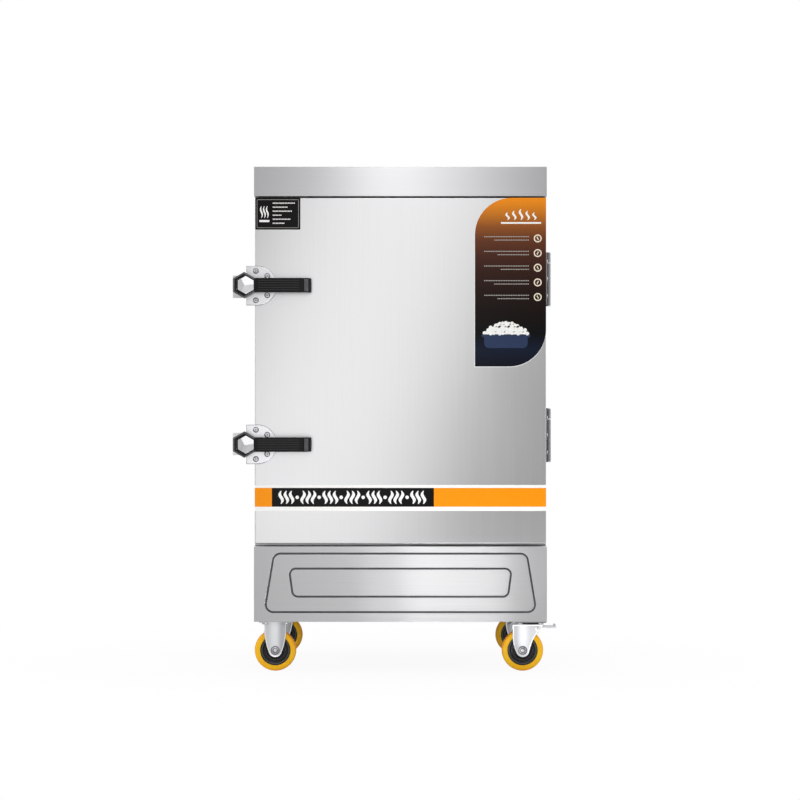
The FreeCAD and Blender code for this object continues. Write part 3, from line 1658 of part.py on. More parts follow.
def wheel(name, x, y):
    """A moulded core and the tyre bonded round it, both turned about the axle."""
    core = body(name + "_core_body")
    half = [
        ("axle_radius + running_gap", "hub_half"),
        ("hub_radius", "hub_half"),
        ("hub_radius", "web_half"),
        ("ridge_radius - ridge_width / 2", "web_half"),
        ("ridge_radius - ridge_width / 2", "ridge_half"),
        ("ridge_radius + ridge_width / 2", "ridge_half"),
        ("ridge_radius + ridge_width / 2", "web_half"),
        ("rim_radius", "web_half"),
        ("rim_radius", "core_half"),
        ("core_radius", "core_half"),
    ]
    section = [(radius, f"0 - ({width})") for radius, width in half] + half[::-1]
    turn(core, sketch(core, "XY_Plane", section))
    node(name + "_wheel_core", core, x, y, "tyre_radius")
    tyre = body(name + "_tyre_body")
    shoulder = "tyre_radius - tyre_shoulder"
    turn(tyre, sketch(tyre, "XY_Plane", [
        ("core_radius", "0 - tyre_half"),
        (shoulder, "0 - tyre_half", "tyre_shoulder"),
        ("tyre_radius", "0 - tyre_half + tyre_shoulder"),
        ("tyre_radius", "tyre_half - tyre_shoulder", "tyre_shoulder"),
        (shoulder, "tyre_half"),
        ("core_radius", "tyre_half"),
    ]))
    node(name + "_tyre", tyre, x, y, "tyre_radius")


def rigid_casters():
    forks = []
    for name, (x, y) in CASTERS.items():
        if not name.endswith("left"):
            continue
        across = (f"{y} - fork_outer", f"{y} + fork_outer")
        bridge = box(
            name + "_bridge", (f"{x} - fork_half", f"{x} + fork_half"), across,
            ("plate_bottom - fork_gauge", "plate_bottom"),
        )
        hole = rod(name + "_axle_hole", "y", "axle_radius + running_gap", *across, (x, "tyre_radius"))
        legs = fork_legs(name, fixed_outline(), x, y)
        solid = fuse(name + "_fork_solid", caster_plate(name, x, y), bridge, legs)
        forks += [cut(name + "_fork", solid, hole), axle(name, x, y)]
        wheel(name, x, y)
    node("rigid_forks", group("rigid_fork_pair", *forks))


def brake_pedal(name, x, y):
    """A pressed lever between the fork's legs, with a tread outside and a brake pad over the tyre."""
    pedal = body(name + "_pedal_body")
    low = "pedal_rise"
    high = "pedal_rise + pedal_gauge"
    far = "pedal_reach - pedal_pivot_x"
    pad(pedal, sketch(pedal, "XZ_Plane", rectangle((0, far), (low, high))), "pedal_half * 2", middle=True)
    pad(pedal, sketch(pedal, "XZ_Plane", (0, 0, "pedal_boss_radius")), "pedal_half * 2", middle=True)
    tread = rectangle((f"{far} - pedal_tread_length", far), both("pedal_tread_half"))
    pad(pedal, sketch(pedal, "XY_Plane", tread, height=low), "pedal_gauge")
    lip = rectangle((f"{far} - pedal_gauge", far), (high, f"{high} + pedal_lip"))
    pad(pedal, sketch(pedal, "XZ_Plane", lip), "pedal_tread_half * 2", middle=True)
    lean = "(atan2(pedal_pivot_x + trail; pedal_pivot_height - tyre_radius) - pedal_travel * 1 deg)"
    reach_x = f"(0 - brake_arm * sin({lean}))"
    reach_z = f"(0 - brake_arm * cos({lean}))"
    side_x = f"(brake_half * cos({lean}))"
    side_z = f"(0 - brake_half * sin({lean}))"
    shoe = [
        (f"0 - {side_x}", f"0 - {side_z}"),
        (f"{reach_x} - {side_x}", f"{reach_z} - {side_z}"),
        (f"{reach_x} + {side_x}", f"{reach_z} + {side_z}"),
        (side_x, side_z),
    ]
    pad(pedal, sketch(pedal, "XZ_Plane", shoe), "pedal_half * 2", middle=True)
    hole = sketch(pedal, "XZ_Plane", (0, 0, "pedal_pin_radius + running_gap"))
    pocket(pedal, hole, "pedal_tread_half * 4", middle=True)
    node(name + "_brake_pedal", pedal, f"{x} + pedal_pivot_x", y, "pedal_pivot_height")


def swivel_casters():
    plates = []
    for name, (x, y) in CASTERS.items():
        if not name.endswith("right"):
            continue
        axis = (x, y)
        plates.append(fuse(
            name + "_swivel_plate",
            caster_plate(name, x, y),
            rod(name + "_race", "z", "race_radius", "race_bottom", "plate_bottom", axis),
            rod(name + "_kingpin", "z", "kingpin_radius", "crown_bottom - fit_gap", "race_bottom", axis),
            rod(
                name + "_kingpin_head", "z", "kingpin_head_radius",
                "crown_bottom - fit_gap - kingpin_head_height", "crown_bottom - fit_gap", axis,
            ),
        ))
        across = (f"{y} - fork_outer", f"{y} + fork_outer")
        thick = ("crown_bottom", "crown_top")
        wheel_x = f"{x} - trail"
        crown = box(name + "_crown", (f"{x} - crown_left", f"{x} + crown_right"), across, thick)
        holes = [
            rod(name + "_kingpin_hole", "z", "kingpin_radius + running_gap", *thick, axis),
            rod(name + "_axle_hole", "y", "axle_radius + running_gap", *across, (wheel_x, "tyre_radius")),
        ]
        pedal_pin = rod(
            name + "_pedal_pin", "y", "pedal_pin_radius", f"{y} - fork_outer - pedal_pin_reach",
            f"{y} + fork_outer + pedal_pin_reach", (f"{x} + pedal_pivot_x", "pedal_pivot_height"),
        )
        solid = fuse(name + "_fork_solid", crown, fork_legs(name, swivel_outline(), x, y))
        fork = cut(name + "_fork", solid, *holes)
        fork_with_pin = fuse(name + "_fork_with_pin", fork, pedal_pin)
        node(name + "_swivel_fork", group(name + "_fork_and_axle", fork_with_pin, axle(name, wheel_x, y)))
        wheel(name, wheel_x, y)
        brake_pedal(name, x, y)
    node("swivel_plates", group("swivel_plate_pair", *plates))


for make in (
    underframe, plinth_front, plinth_wrap, outer_wrap, top_cap, jamb, liner, insulation,
    water_tank, steam_plate, heater, terminal_cover, float_box, float_valve, float_arm, drain, steam_vent,
    trays, door_shell, door_gasket, door_films, hinges, latches, fixings, caster_bolts,
    rigid_casters, swivel_casters, tray_racks,
):
    make()

# Check every object and every sub-part before anything is written

doc.recompute()
faults = [thing.Name for thing in doc.Objects if {"Invalid", "Error"} & set(thing.State)]
faults += [label for label, thing in nodes.items() if thing.Shape.isNull() or not thing.Shape.isValid()]
if faults:
    raise ValueError("failed: " + ", ".join(faults))
os.makedirs("parts", exist_ok=True)
for label, thing in nodes.items():
    thing.Shape.exportStep(f"parts/{label}.step")
print(len(nodes), "sub-parts")
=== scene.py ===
import math

import bmesh
import bpy
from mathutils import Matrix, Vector


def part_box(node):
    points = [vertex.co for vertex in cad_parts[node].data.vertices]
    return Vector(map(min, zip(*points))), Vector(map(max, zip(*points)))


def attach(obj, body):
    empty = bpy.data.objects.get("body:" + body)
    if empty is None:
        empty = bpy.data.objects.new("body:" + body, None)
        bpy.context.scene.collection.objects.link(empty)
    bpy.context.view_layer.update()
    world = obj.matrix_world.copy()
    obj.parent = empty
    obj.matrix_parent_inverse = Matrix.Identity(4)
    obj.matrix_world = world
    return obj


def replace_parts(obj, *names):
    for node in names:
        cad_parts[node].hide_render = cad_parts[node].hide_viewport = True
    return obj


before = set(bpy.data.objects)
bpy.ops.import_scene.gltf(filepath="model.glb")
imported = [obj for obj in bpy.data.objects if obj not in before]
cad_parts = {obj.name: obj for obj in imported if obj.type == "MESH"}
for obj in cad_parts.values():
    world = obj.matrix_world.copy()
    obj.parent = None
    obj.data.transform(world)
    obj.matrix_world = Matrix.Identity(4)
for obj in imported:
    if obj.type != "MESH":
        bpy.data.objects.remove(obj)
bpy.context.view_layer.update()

# Viewpoint. A level, square-on shot from about seven metres, so the front shows next to no
# perspective. It is set first, because the floor and the lamps are placed round it.

MM = 0.001
door_low, door_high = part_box("door_skin")
MIDDLE_X = (door_low.x + door_high.x) / 2
FRONT_Y = door_low.y
DISTANCE = 7.05
EYE_HEIGHT = 0.652
LENS = 132.8
# The turn that makes a camera, or a shape that lies flat, look along the cabinet's depth.
FACING = (math.pi / 2, 0, 0)

bpy.ops.object.select_all(action="DESELECT")
bpy.ops.object.camera_add(
    location=(MIDDLE_X - 1 * MM, FRONT_Y - DISTANCE, EYE_HEIGHT), rotation=FACING,
)
camera = bpy.context.object
camera.name = "camera"
camera.data.sensor_width = 36
camera.data.lens = LENS
camera.data.clip_end = 100
bpy.context.scene.camera = camera
bpy.context.scene.view_settings.view_transform = "Standard"

# Studio. A white sweep and surround, a little darker behind the camera as in a real room, and
# soft lamps near the front, each mirrored as a broad pale patch by the flat steel.


def linear(hex_colour):
    """An sRGB hex colour as the linear colour that shaders and lamps use."""
    channels = [int(hex_colour[start:start + 2], 16) / 255 for start in (1, 3, 5)]
    return [c / 12.92 if c <= 0.04045 else ((c + 0.055) / 1.055) ** 2.4 for c in channels] + [1]


def set_inputs(node, inputs):
    """Sets a shader node's inputs, as values or as links from other nodes' sockets."""
    for name, value in inputs.items():
        if isinstance(value, bpy.types.NodeSocket):
            node.id_data.links.new(value, node.inputs[name])
        else:
            node.inputs[name].default_value = value


def add_node(tree, kind, inputs=None, **settings):
    """A shader node with its own settings, and its inputs as values or as links from sockets."""
    node = tree.nodes.new(kind)
    for name, value in settings.items():
        setattr(node, name, value)
    set_inputs(node, inputs or {})
    return node


def ray_kinds(tree):
    """Two sockets: one is 1 for rays from the camera, the other for mirrored or refracted ones."""
    rays = add_node(tree, "ShaderNodeLightPath")
    mirrored = add_node(tree, "ShaderNodeMath", {
        0: rays.outputs["Is Glossy Ray"], 1: rays.outputs["Is Transmission Ray"],
    }, operation="MAXIMUM")
    return rays.outputs["Is Camera Ray"], mirrored.outputs[0]


# The surround's brightness for the light that falls on dull surfaces, and the floor's in mirrors.
SOFT_LIGHT = 0.62
FLOOR_IN_MIRRORS = 0.55
world = bpy.data.worlds.new("white_surround")
world.use_nodes = True
bpy.context.scene.world = world
tree = world.node_tree
tree.nodes.clear()
direct, mirrored = ray_kinds(tree)
way = add_node(tree, "ShaderNodeTexCoord")
parts = add_node(tree, "ShaderNodeSeparateXYZ", {0: way.outputs["Generated"]})
dim_end = add_node(tree, "ShaderNodeMapRange", {
    "Value": parts.outputs["Y"], "From Min": -0.98, "From Max": -0.3, "To Min": 0.45, "To Max": 1.0,
})
by_ray = add_node(tree, "ShaderNodeMix", {0: mirrored, 2: SOFT_LIGHT, 3: dim_end.outputs[0]})
level = add_node(tree, "ShaderNodeMix", {0: direct, 2: by_ray.outputs[0], 3: 1.0})
surround = add_node(tree, "ShaderNodeBackground", {
    "Color": linear("#FFFFFF"), "Strength": level.outputs[0],
})
add_node(tree, "ShaderNodeOutputWorld", {"Surface": surround.outputs[0]})

bpy.ops.mesh.primitive_plane_add(size=60, location=(0, 0, 0))
floor = bpy.context.object
floor.name = "studio_floor"
paper = bpy.data.materials.new("matt_white_paper_sweep")
paper.use_nodes = True
tree = paper.node_tree
tree.nodes.clear()
direct, mirrored = ray_kinds(tree)
matt = add_node(tree, "ShaderNodeBsdfDiffuse", {"Color": linear("#F4F4F4")})
seen = add_node(tree, "ShaderNodeMath", {0: direct, 1: mirrored}, operation="MAXIMUM")
level = add_node(tree, "ShaderNodeMix", {0: direct, 2: FLOOR_IN_MIRRORS, 3: 1.0})
glow = add_node(tree, "ShaderNodeEmission", {"Color": linear("#FFFFFF"), "Strength": level.outputs[0]})
# The paper takes the cabinet's shadow near it and is plain white further out.
place = add_node(tree, "ShaderNodeTexCoord")
reach = add_node(tree, "ShaderNodeVectorMath", {0: place.outputs["Object"]}, operation="LENGTH")
plain = add_node(tree, "ShaderNodeMapRange", {
    "Value": reach.outputs["Value"], "From Min": 0.45, "From Max": 1.5, "To Min": 0.93, "To Max": 1.0,
}, interpolation_type="SMOOTHSTEP")
white_out = add_node(tree, "ShaderNodeMath", {
    0: seen.outputs[0], 1: plain.outputs[0],
}, operation="MULTIPLY")
faint = add_node(tree, "ShaderNodeMixShader", {
    0: white_out.outputs[0], 1: matt.outputs[0], 2: glow.outputs[0],
})
add_node(tree, "ShaderNodeOutputMaterial", {"Surface": faint.outputs[0]})
floor.data.materials.append(paper)

# Each lamp has a place, a lean sideways in degrees, a size and a power in watts. The two lamps in
# front stand near the object, as in a packshot, and shine away from the camera. The two cards
# lie on the floor and shine up at the plinth. A lamp with no lean is aimed at AIM.
AIM = Vector((MIDDLE_X, 0, 0.7))
LAMPS = {
    "leaning_window": ((MIDDLE_X - 0.08, FRONT_Y - 1.2, 0.97), 19, (0.65, 1.95), 4.3),
    "high_strip": ((MIDDLE_X + 0.09, FRONT_Y - 0.8, 2.05), 19, (0.2, 1.2), 3.1),
    "floor_card": ((MIDDLE_X + 0.14, FRONT_Y - 0.35, 0.012), "up", (0.26, 0.2), 0.95),
    "wide_floor_card": ((MIDDLE_X + 0.26, FRONT_Y - 0.35, 0.011), "up", (0.7, 0.2), 1.4),
    "left_side": ((-3.0, -0.6, 1.5), None, (2.6, 2.2), 20),
    "right_side": ((3.0, 0.3, 1.6), None, (2.6, 2.2), 20),
    "rear_window": ((0.4, 3.2, 1.9), None, (3.0, 2.4), 23),
    "top_window": ((MIDDLE_X, 0.2, 3.2), None, (1.8, 1.2), 14),
}
for name, (place, lean, size, power) in LAMPS.items():
    if lean is None:
        turn = (AIM - Vector(place)).to_track_quat("-Z", "Y").to_euler()
    elif lean == "up":
        turn = (math.pi, 0, 0)
    else:
        turn = (math.pi / 2, math.radians(lean), 0)
    bpy.ops.object.light_add(type="AREA", location=place, rotation=turn)
    lamp = bpy.context.object
    lamp.name = name
    lamp.data.shape = "RECTANGLE"
    lamp.data.size, lamp.data.size_y = size
    lamp.data.energy = power

# Outer sheet steel: 1.2 mm stainless with a fine satin brushing, folded into pans. The brushing
# shows as faint streaks along the grain; folds and cut edges catch a thin line of light.


def start_material(name, colour, metallic, roughness):
    """A named material with a principled shader, its tree and the piece's own coordinates."""
    material = bpy.data.materials.new(name)
    material.use_nodes = True
    material.diffuse_color = linear(colour)
    tree = material.node_tree
    tree.nodes.clear()
    shader = add_node(tree, "ShaderNodeBsdfPrincipled", {
        "Base Color": linear(colour), "Metallic": metallic, "Roughness": roughness,
    })
    add_node(tree, "ShaderNodeOutputMaterial", {"Surface": shader.outputs[0]})
    place = add_node(tree, "ShaderNodeTexCoord")
    return material, tree, shader, place.outputs["Object"]


def rolled_steel(name, dark, pale, shine, grain, upright_spread=0.0):
    """Sheet with streaks of the grain's size on x, y and z in metres, and a cloudy sheen."""
    material, tree, shader, place = start_material(name, pale, 1, shine[0])
    stretched = add_node(tree, "ShaderNodeMapping", {
        "Vector": place, "Scale": [1 / size for size in grain],
    })
    streaks = add_node(tree, "ShaderNodeTexNoise", {
        "Vector": stretched.outputs[0], "Scale": 1, "Detail": 4,
    })
    clouds = add_node(tree, "ShaderNodeTexNoise", {"Vector": place, "Scale": 4, "Detail": 1})
    both = add_node(tree, "ShaderNodeMix", {0: 0.45, 2: streaks.outputs[0], 3: clouds.outputs[0]})
    spread = add_node(tree, "ShaderNodeMapRange", {
        "Value": both.outputs[0], "From Min": 0.3, "From Max": 0.7,
    })
    tone = add_node(tree, "ShaderNodeMix", {
        0: spread.outputs[0], 6: linear(dark), 7: linear(pale),
    }, data_type="RGBA")
    sheen = add_node(tree, "ShaderNodeMapRange", {
        "Value": spread.outputs[0], "To Min": shine[0], "To Max": shine[1],
    })
    relief = add_node(tree, "ShaderNodeBump", {
        "Height": streaks.outputs[0], "Strength": 0.1, "Distance": 0.1 * MM,
    })
    set_inputs(shader, {
        "Base Color": tone.outputs[2], "Roughness": sheen.outputs[0], "Normal": relief.outputs[0],
    })
    if upright_spread:
        lay = add_node(tree, "ShaderNodeTangent", direction_type="RADIAL", axis="Z")
        set_inputs(shader, {
            "Tangent": lay.outputs[0], "Anisotropic": upright_spread, "Anisotropic Rotation": 0.25,
        })
    return material


def pick(*pieces):
    """Selects these pieces alone, and makes the first one the active piece."""
    bpy.ops.object.select_all(action="DESELECT")
    for piece in pieces:
        piece.select_set(True)
    bpy.context.view_layer.objects.active = pieces[0]


def edit_all():
    """Opens the active piece for editing, with all of it selected."""
    bpy.ops.object.mode_set(mode="EDIT")
    bpy.ops.mesh.select_all(action="SELECT")


def mark_faces(piece, chosen):
    """Opens the active piece for editing, and selects the faces that are chosen."""
    bpy.ops.object.mode_set(mode="EDIT")
    bpy.ops.mesh.select_all(action="DESELECT")
    edit = bmesh.from_edit_mesh(piece.data)
    for face in edit.faces:
        face.select = chosen(face)
    bmesh.update_edit_mesh(piece.data)


def round_edges(piece, width, angle, segments=2):
    """Rounds the edges that turn by more than an angle in degrees, over a width in mm."""
    rounding = piece.modifiers.new("rounding", "BEVEL")
    rounding.width = width * MM
    rounding.segments = segments
    rounding.limit_method = "ANGLE"
    rounding.angle_limit = math.radians(angle)
    bpy.ops.object.modifier_apply(modifier=rounding.name)


def shade(piece, angle):
    """Smooths the edges that turn by less than an angle in degrees, and keeps flat faces flat."""
    bpy.ops.object.shade_smooth_by_angle(angle=math.radians(angle))
    level = piece.modifiers.new("flat_faces_stay_flat", "WEIGHTED_NORMAL")
    level.keep_sharp = True
    bpy.ops.object.modifier_apply(modifier=level.name)


def finished_copy(node, name, body, material, edge=0.3, smooth=40, unwanted=None):
    """A piece with a node's shape: triangles joined into faces, and sharp edges rounded by edge mm.

    Faces for which unwanted is true are left out, where other pieces show them in more detail.
    """
    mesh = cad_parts[node].data.copy()
    mesh.name = name
    mesh.materials.clear()
    piece = bpy.data.objects.new(name, mesh)
    bpy.context.collection.objects.link(piece)
    pick(piece)
    edit_all()
    bpy.ops.mesh.remove_doubles(threshold=0.002 * MM)
    if unwanted:
        mark_faces(piece, lambda face: unwanted([vertex.co for vertex in face.verts]))
        bpy.ops.mesh.delete(type="FACE")
        bpy.ops.mesh.select_all(action="SELECT")
    bpy.ops.mesh.dissolve_limited(angle_limit=math.radians(0.6))
    bpy.ops.object.mode_set(mode="OBJECT")
    bpy.ops.object.shade_smooth_by_angle(angle=math.radians(smooth))
    round_edges(piece, edge, 30)
    shade(piece, smooth)
    mesh.materials.append(material)
    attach(piece, body)
    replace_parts(piece, node)
    return piece


def repaint(piece, material, chosen):
    """Gives another finish to the faces whose middle and normal are chosen."""
    piece.data.materials.append(material)
    for face in piece.data.polygons:
        if chosen(face.center, face.normal):
            face.material_index = len(piece.data.materials) - 1


# The door's brushing runs up and down. One stroke is about 0.1 mm wide, which is too fine to
# show, so it is drawn 3 mm wide and 0.3 m long.
door_steel = rolled_steel(
    "satin_stainless_sheet_upright", "#C8C8C9", "#CDCDCE", (0.28, 0.33), (0.003, 0.003, 0.3),
)
# The cap and the plinth are brushed along their length, which draws lamps out up and down.
trim_steel = rolled_steel(
    "satin_stainless_sheet_lengthwise", "#C4C4C6", "#CCCCCD", (0.40, 0.46), (0.3, 0.3, 0.003), 1.0,
)
side_steel = rolled_steel(
    "satin_stainless_sheet_sides", "#BCBCBE", "#C6C6C7", (0.34, 0.42), (0.003, 0.003, 0.3),
)
finished_copy("door_skin", "door_front_skin", "door", door_steel, 0.4)
# The bottom of each pressed groove is painted dark grey, a painted shade, and the sloping lips beside it
# are painted brighter than the flat, a painted highlight. The lips are looked for from LIP_START above
# the groove's bottom, and inside these ends, so that the panel's own folds are left out.
GROOVE_DEPTH = 2.5 * MM
LIP_START = 1.2 * MM
LIPS_REACH = 345 * MM
LIPS_LOW = 5 * MM
LIPS_HIGH = 175 * MM
groove_shade_steel = rolled_steel(
    "groove_steel_painted_shade", "#4B4B4E", "#5E5E61", (0.38, 0.5), (0.02, 0.02, 0.02),
)
lip_highlight_steel = rolled_steel(
    "groove_lip_painted_highlight", "#DADADB", "#E6E6E7", (0.3, 0.4), (0.02, 0.02, 0.02),
)
cap = finished_copy("top_cap", "top_cap_pan", "cabinet", trim_steel, 0.4)
repaint(cap, side_steel, lambda middle, normal: abs(normal.z) > 0.5)
panel = finished_copy("plinth_front", "plinth_front_panel", "cabinet", trim_steel, 0.5)
panel_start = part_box("plinth_front")[0]
groove_floor = panel_start.y + GROOVE_DEPTH
# Painted shade: the grooves' bottoms are painted dark grey.
repaint(panel, groove_shade_steel, lambda middle, normal: (
    normal.y < -0.5 and abs(middle.y - groove_floor) < 0.1 * MM
))
# Painted highlight: the grooves' sloping lips are painted pale.
repaint(panel, lip_highlight_steel, lambda middle, normal: (
    -0.97 < normal.y < -0.1 and middle.y < groove_floor - LIP_START
    and LIPS_LOW < middle.z - panel_start.z < LIPS_HIGH and abs(middle.x - MIDDLE_X) < LIPS_REACH
))
finished_copy("plinth_sides", "plinth_side_wrap", "cabinet", side_steel)
finished_copy("outer_wrap", "cabinet_side_wrap", "cabinet", side_steel)
finished_copy("door_jamb", "door_jamb_frame", "cabinet", side_steel)

# Printed films on the door: vinyl with a clear laminate, stuck on. Each layer of ink is its own
# thin patch, a little proud of the one under it, with generic steam and tray motifs.

DOOR_LEFT = door_low.x
DOOR_RIGHT = door_high.x
DOOR_BOTTOM = door_low.z
DOOR_TOP = door_high.z
LAYER = 0.06 * MM
FILM = 0.3 * MM


def laminated_vinyl(name, colour, roughness):
    """Ink under a clear laminate: even colour with a faint mottle, and a soft gloss."""
    material, tree, shader, place = start_material(f"laminated_vinyl_{name}", colour, 0, roughness)
    mottle = add_node(tree, "ShaderNodeTexNoise", {"Vector": place, "Scale": 160, "Detail": 2})
    darker = [channel * 0.88 for channel in linear(colour)[:3]] + [1]
    tone = add_node(tree, "ShaderNodeMix", {
        0: mottle.outputs[0], 6: darker, 7: linear(colour),
    }, data_type="RGBA")
    dull = add_node(tree, "ShaderNodeMapRange", {
        "Value": mottle.outputs[0], "To Min": roughness - 0.05, "To Max": roughness + 0.06,
    })
    set_inputs(shader, {
        "Base Color": tone.outputs[2], "Roughness": dull.outputs[0], "Specular IOR Level": 0.12,
    })
    return material


white_ink = laminated_vinyl("white", "#F4F4F2", 0.35)
orange_ink = laminated_vinyl("orange", "#F7930A", 0.35)
black_ink = laminated_vinyl("black", "#0B0808", 0.3)
grey_ink = laminated_vinyl("grey", "#A9A6A0", 0.35)


def new_shape(add, scale=(1, 1, 1), **settings):
    """A plain shape from one of Blender's operators, with its place and turn in its mesh."""
    bpy.ops.object.select_all(action="DESELECT")
    add(**settings)
    piece = bpy.context.object
    piece.scale = scale
    bpy.ops.object.transform_apply(location=True, rotation=True, scale=True)
    return piece


def thicken(piece, thickness, material):
    """Gives a flat patch its thickness, away from the viewer, and its ink."""
    edit_all()
    bpy.ops.mesh.extrude_region_move(TRANSFORM_OT_translate={"value": (0, thickness * 0.98, 0)})
    bpy.ops.mesh.select_all(action="SELECT")
    bpy.ops.mesh.normals_make_consistent(inside=False)
    bpy.ops.object.mode_set(mode="OBJECT")
    piece.data.materials.append(material)
    return piece


def depth_of(layer):
    """The y of a layer's outer face; layer 0 is the film itself."""
    return FRONT_Y - FILM - layer * LAYER


def patch(name, low, high, layer, material, radii=(0, 0, 0, 0), thickness=LAYER):
    """A flat patch of film or ink from its low to its high corner, as (x, z) in metres.

    The radii are those of its corners: low left, low right, high right and high left.
    """
    piece = new_shape(
        bpy.ops.mesh.primitive_plane_add, (high[0] - low[0], high[1] - low[1], 1), size=1,
        location=((low[0] + high[0]) / 2, depth_of(layer), (low[1] + high[1]) / 2), rotation=FACING,
    )
    piece.name = name
    corners = [low, (high[0], low[1]), high, (low[0], high[1])]
    for (x, z), radius in zip(corners, radii):
        if not radius:
            continue
        bpy.ops.object.mode_set(mode="EDIT")
        bpy.ops.mesh.select_all(action="DESELECT")
        edit = bmesh.from_edit_mesh(piece.data)
        for vertex in edit.verts:
            vertex.select = math.hypot(vertex.co.x - x, vertex.co.z - z) < 1e-5
        bmesh.update_edit_mesh(piece.data)
        bpy.ops.mesh.bevel(offset=radius, segments=14 if radius > 0.02 else 5, affect="VERTICES")
        bpy.ops.object.mode_set(mode="OBJECT")
    return thicken(piece, thickness, material)


def curl(middle_x, foot, height, width, sway, layer, material):
    """A wisp of steam: a ribbon that sways once each way and tapers at both ends."""
    piece = new_shape(
        bpy.ops.mesh.primitive_grid_add, x_subdivisions=1, y_subdivisions=18, size=1,
        location=(0, 0, 0), rotation=FACING,
    )
    for vertex in piece.data.vertices:
        up = vertex.co.z + 0.5
        breadth = width * (0.25 + 0.75 * math.sin(math.pi * min(max(up, 0), 1)))
        bend = sway * math.sin(2 * math.pi * up)
        vertex.co = Vector((
            middle_x + bend + vertex.co.x * breadth, depth_of(layer), foot + up * height,
        ))
    return thicken(piece, LAYER, material)


def disc(middle, radius, layer, material, hole=0.0):
    """A round dot, or a ring with a hole of that radius."""
    piece = new_shape(
        bpy.ops.mesh.primitive_circle_add, vertices=40, radius=radius, fill_type="NGON",
        location=(middle[0], depth_of(layer), middle[1]), rotation=FACING,
    )
    if hole:
        edit_all()
        bpy.ops.mesh.inset(thickness=radius - hole)
        bpy.ops.mesh.delete(type="FACE")
        bpy.ops.object.mode_set(mode="OBJECT")
    return thicken(piece, LAYER, material)


def joined(name, pieces):
    """Several pieces made into one, under a name."""
    pick(*pieces)
    if len(pieces) > 1:
        bpy.ops.object.join()
    pieces[0].name = name
    return pieces[0]


def print_on_door(name, pieces):
    """Joins patches of ink into one printed piece on the door."""
    piece = joined(name, pieces)
    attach(piece, "door")
    return piece


BAND_BOTTOM = DOOR_BOTTOM + 78 * MM
BAND_TOP = BAND_BOTTOM + 62 * MM
STRIPE = (BAND_BOTTOM + 10 * MM, BAND_TOP - 7 * MM)
band_film = print_on_door("band_film_white", [
    patch("band_base", (DOOR_LEFT, BAND_BOTTOM), (DOOR_RIGHT, BAND_TOP), 0, white_ink, thickness=FILM),
])
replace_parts(band_film, "door_films")
print_on_door("band_print_orange", [
    patch("band_orange", (DOOR_LEFT, STRIPE[0]), (DOOR_RIGHT, STRIPE[1]), 1, orange_ink),
])
PANEL = ((MIDDLE_X - 307 * MM, STRIPE[0]), (MIDDLE_X + 80 * MM, STRIPE[1]))
print_on_door("band_print_black", [patch("band_black", *PANEL, 2, black_ink)])
# White wisps in groups of three with a dot between them fill the black panel.
motifs = []
for group_index in range(7):
    left = PANEL[0][0] + (22 + group_index * 52.5) * MM
    for wisp_index in range(3):
        motifs.append(curl(
            left + wisp_index * 12.5 * MM, STRIPE[0] + 7 * MM, 31 * MM, 8.5 * MM,
            3.2 * MM * (-1) ** group_index, 3, white_ink,
        ))
    if group_index < 6:
        motifs.append(disc((left + 38.5 * MM, STRIPE[0] + 22.5 * MM), 4.2 * MM, 3, white_ink))
print_on_door("band_print_wisps", motifs)

LABEL_LOW = (DOOR_LEFT + 1 * MM, DOOR_TOP - 76 * MM)
LABEL_HIGH = (DOOR_LEFT + 109 * MM, DOOR_TOP)
label_film = print_on_door("label_film_black", [
    patch("label_base", LABEL_LOW, LABEL_HIGH, 0, black_ink, (2 * MM,) * 4, thickness=FILM),
])
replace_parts(label_film, "door_films")


def dashes(foot, left, right, height, layer, material, pitch):
    """A row of strokes, each pitch mm: one is made, and an array repeats it along the row."""
    stroke = pitch * 0.7 * MM
    piece = patch("stroke", (left, foot), (left + stroke, foot + height), layer, material)
    row = piece.modifiers.new("row", "ARRAY")
    row.count = max(int((right - left) / (pitch * MM)), 1)
    row.use_relative_offset = False
    row.use_constant_offset = True
    row.constant_offset_displace = (pitch * MM, 0, 0)
    bpy.ops.object.modifier_apply(modifier=row.name)
    return piece


def on_label(across, up):
    """A place on the label, in millimetres from its low left corner."""
    return (LABEL_LOW[0] + across * MM, LABEL_LOW[1] + up * MM)


# A thin frame line, three wisps over a tray line at the left and ruled strokes at the right.
LINE = 0.9 * MM
left, foot = on_label(4, 4)
right = LABEL_HIGH[0] - 4 * MM
top = LABEL_HIGH[1] - 4 * MM
lines = []
for low, high in (
    ((left, foot), (right, foot + LINE)), ((left, top - LINE), (right, top)),
    ((left, foot), (left + LINE, top)), ((right - LINE, foot), (right, top)),
):
    lines.append(patch("frame_line", low, high, 1, grey_ink))
print_on_door("label_print_frame", lines)
marks = []
for index in range(3):
    x, z = on_label(15 + 7 * index, 28)
    marks.append(curl(x, z, 28 * MM, 4 * MM, 2 * MM, 1, white_ink))
marks.append(patch(
    "tray_mark", on_label(10, 18), on_label(34, 23), 1, white_ink, (2 * MM, 2 * MM, 0, 0),
))
for index, reach in enumerate((96, 78, 92, 66, 88, 74)):
    foot = LABEL_HIGH[1] - (14 + 9.6 * index) * MM
    left = LABEL_LOW[0] + 42 * MM
    right = LABEL_LOW[0] + reach * MM
    marks.append(dashes(foot, left, right, 2.6 * MM, 1, white_ink, 3.6))
print_on_door("label_print_marks", marks)

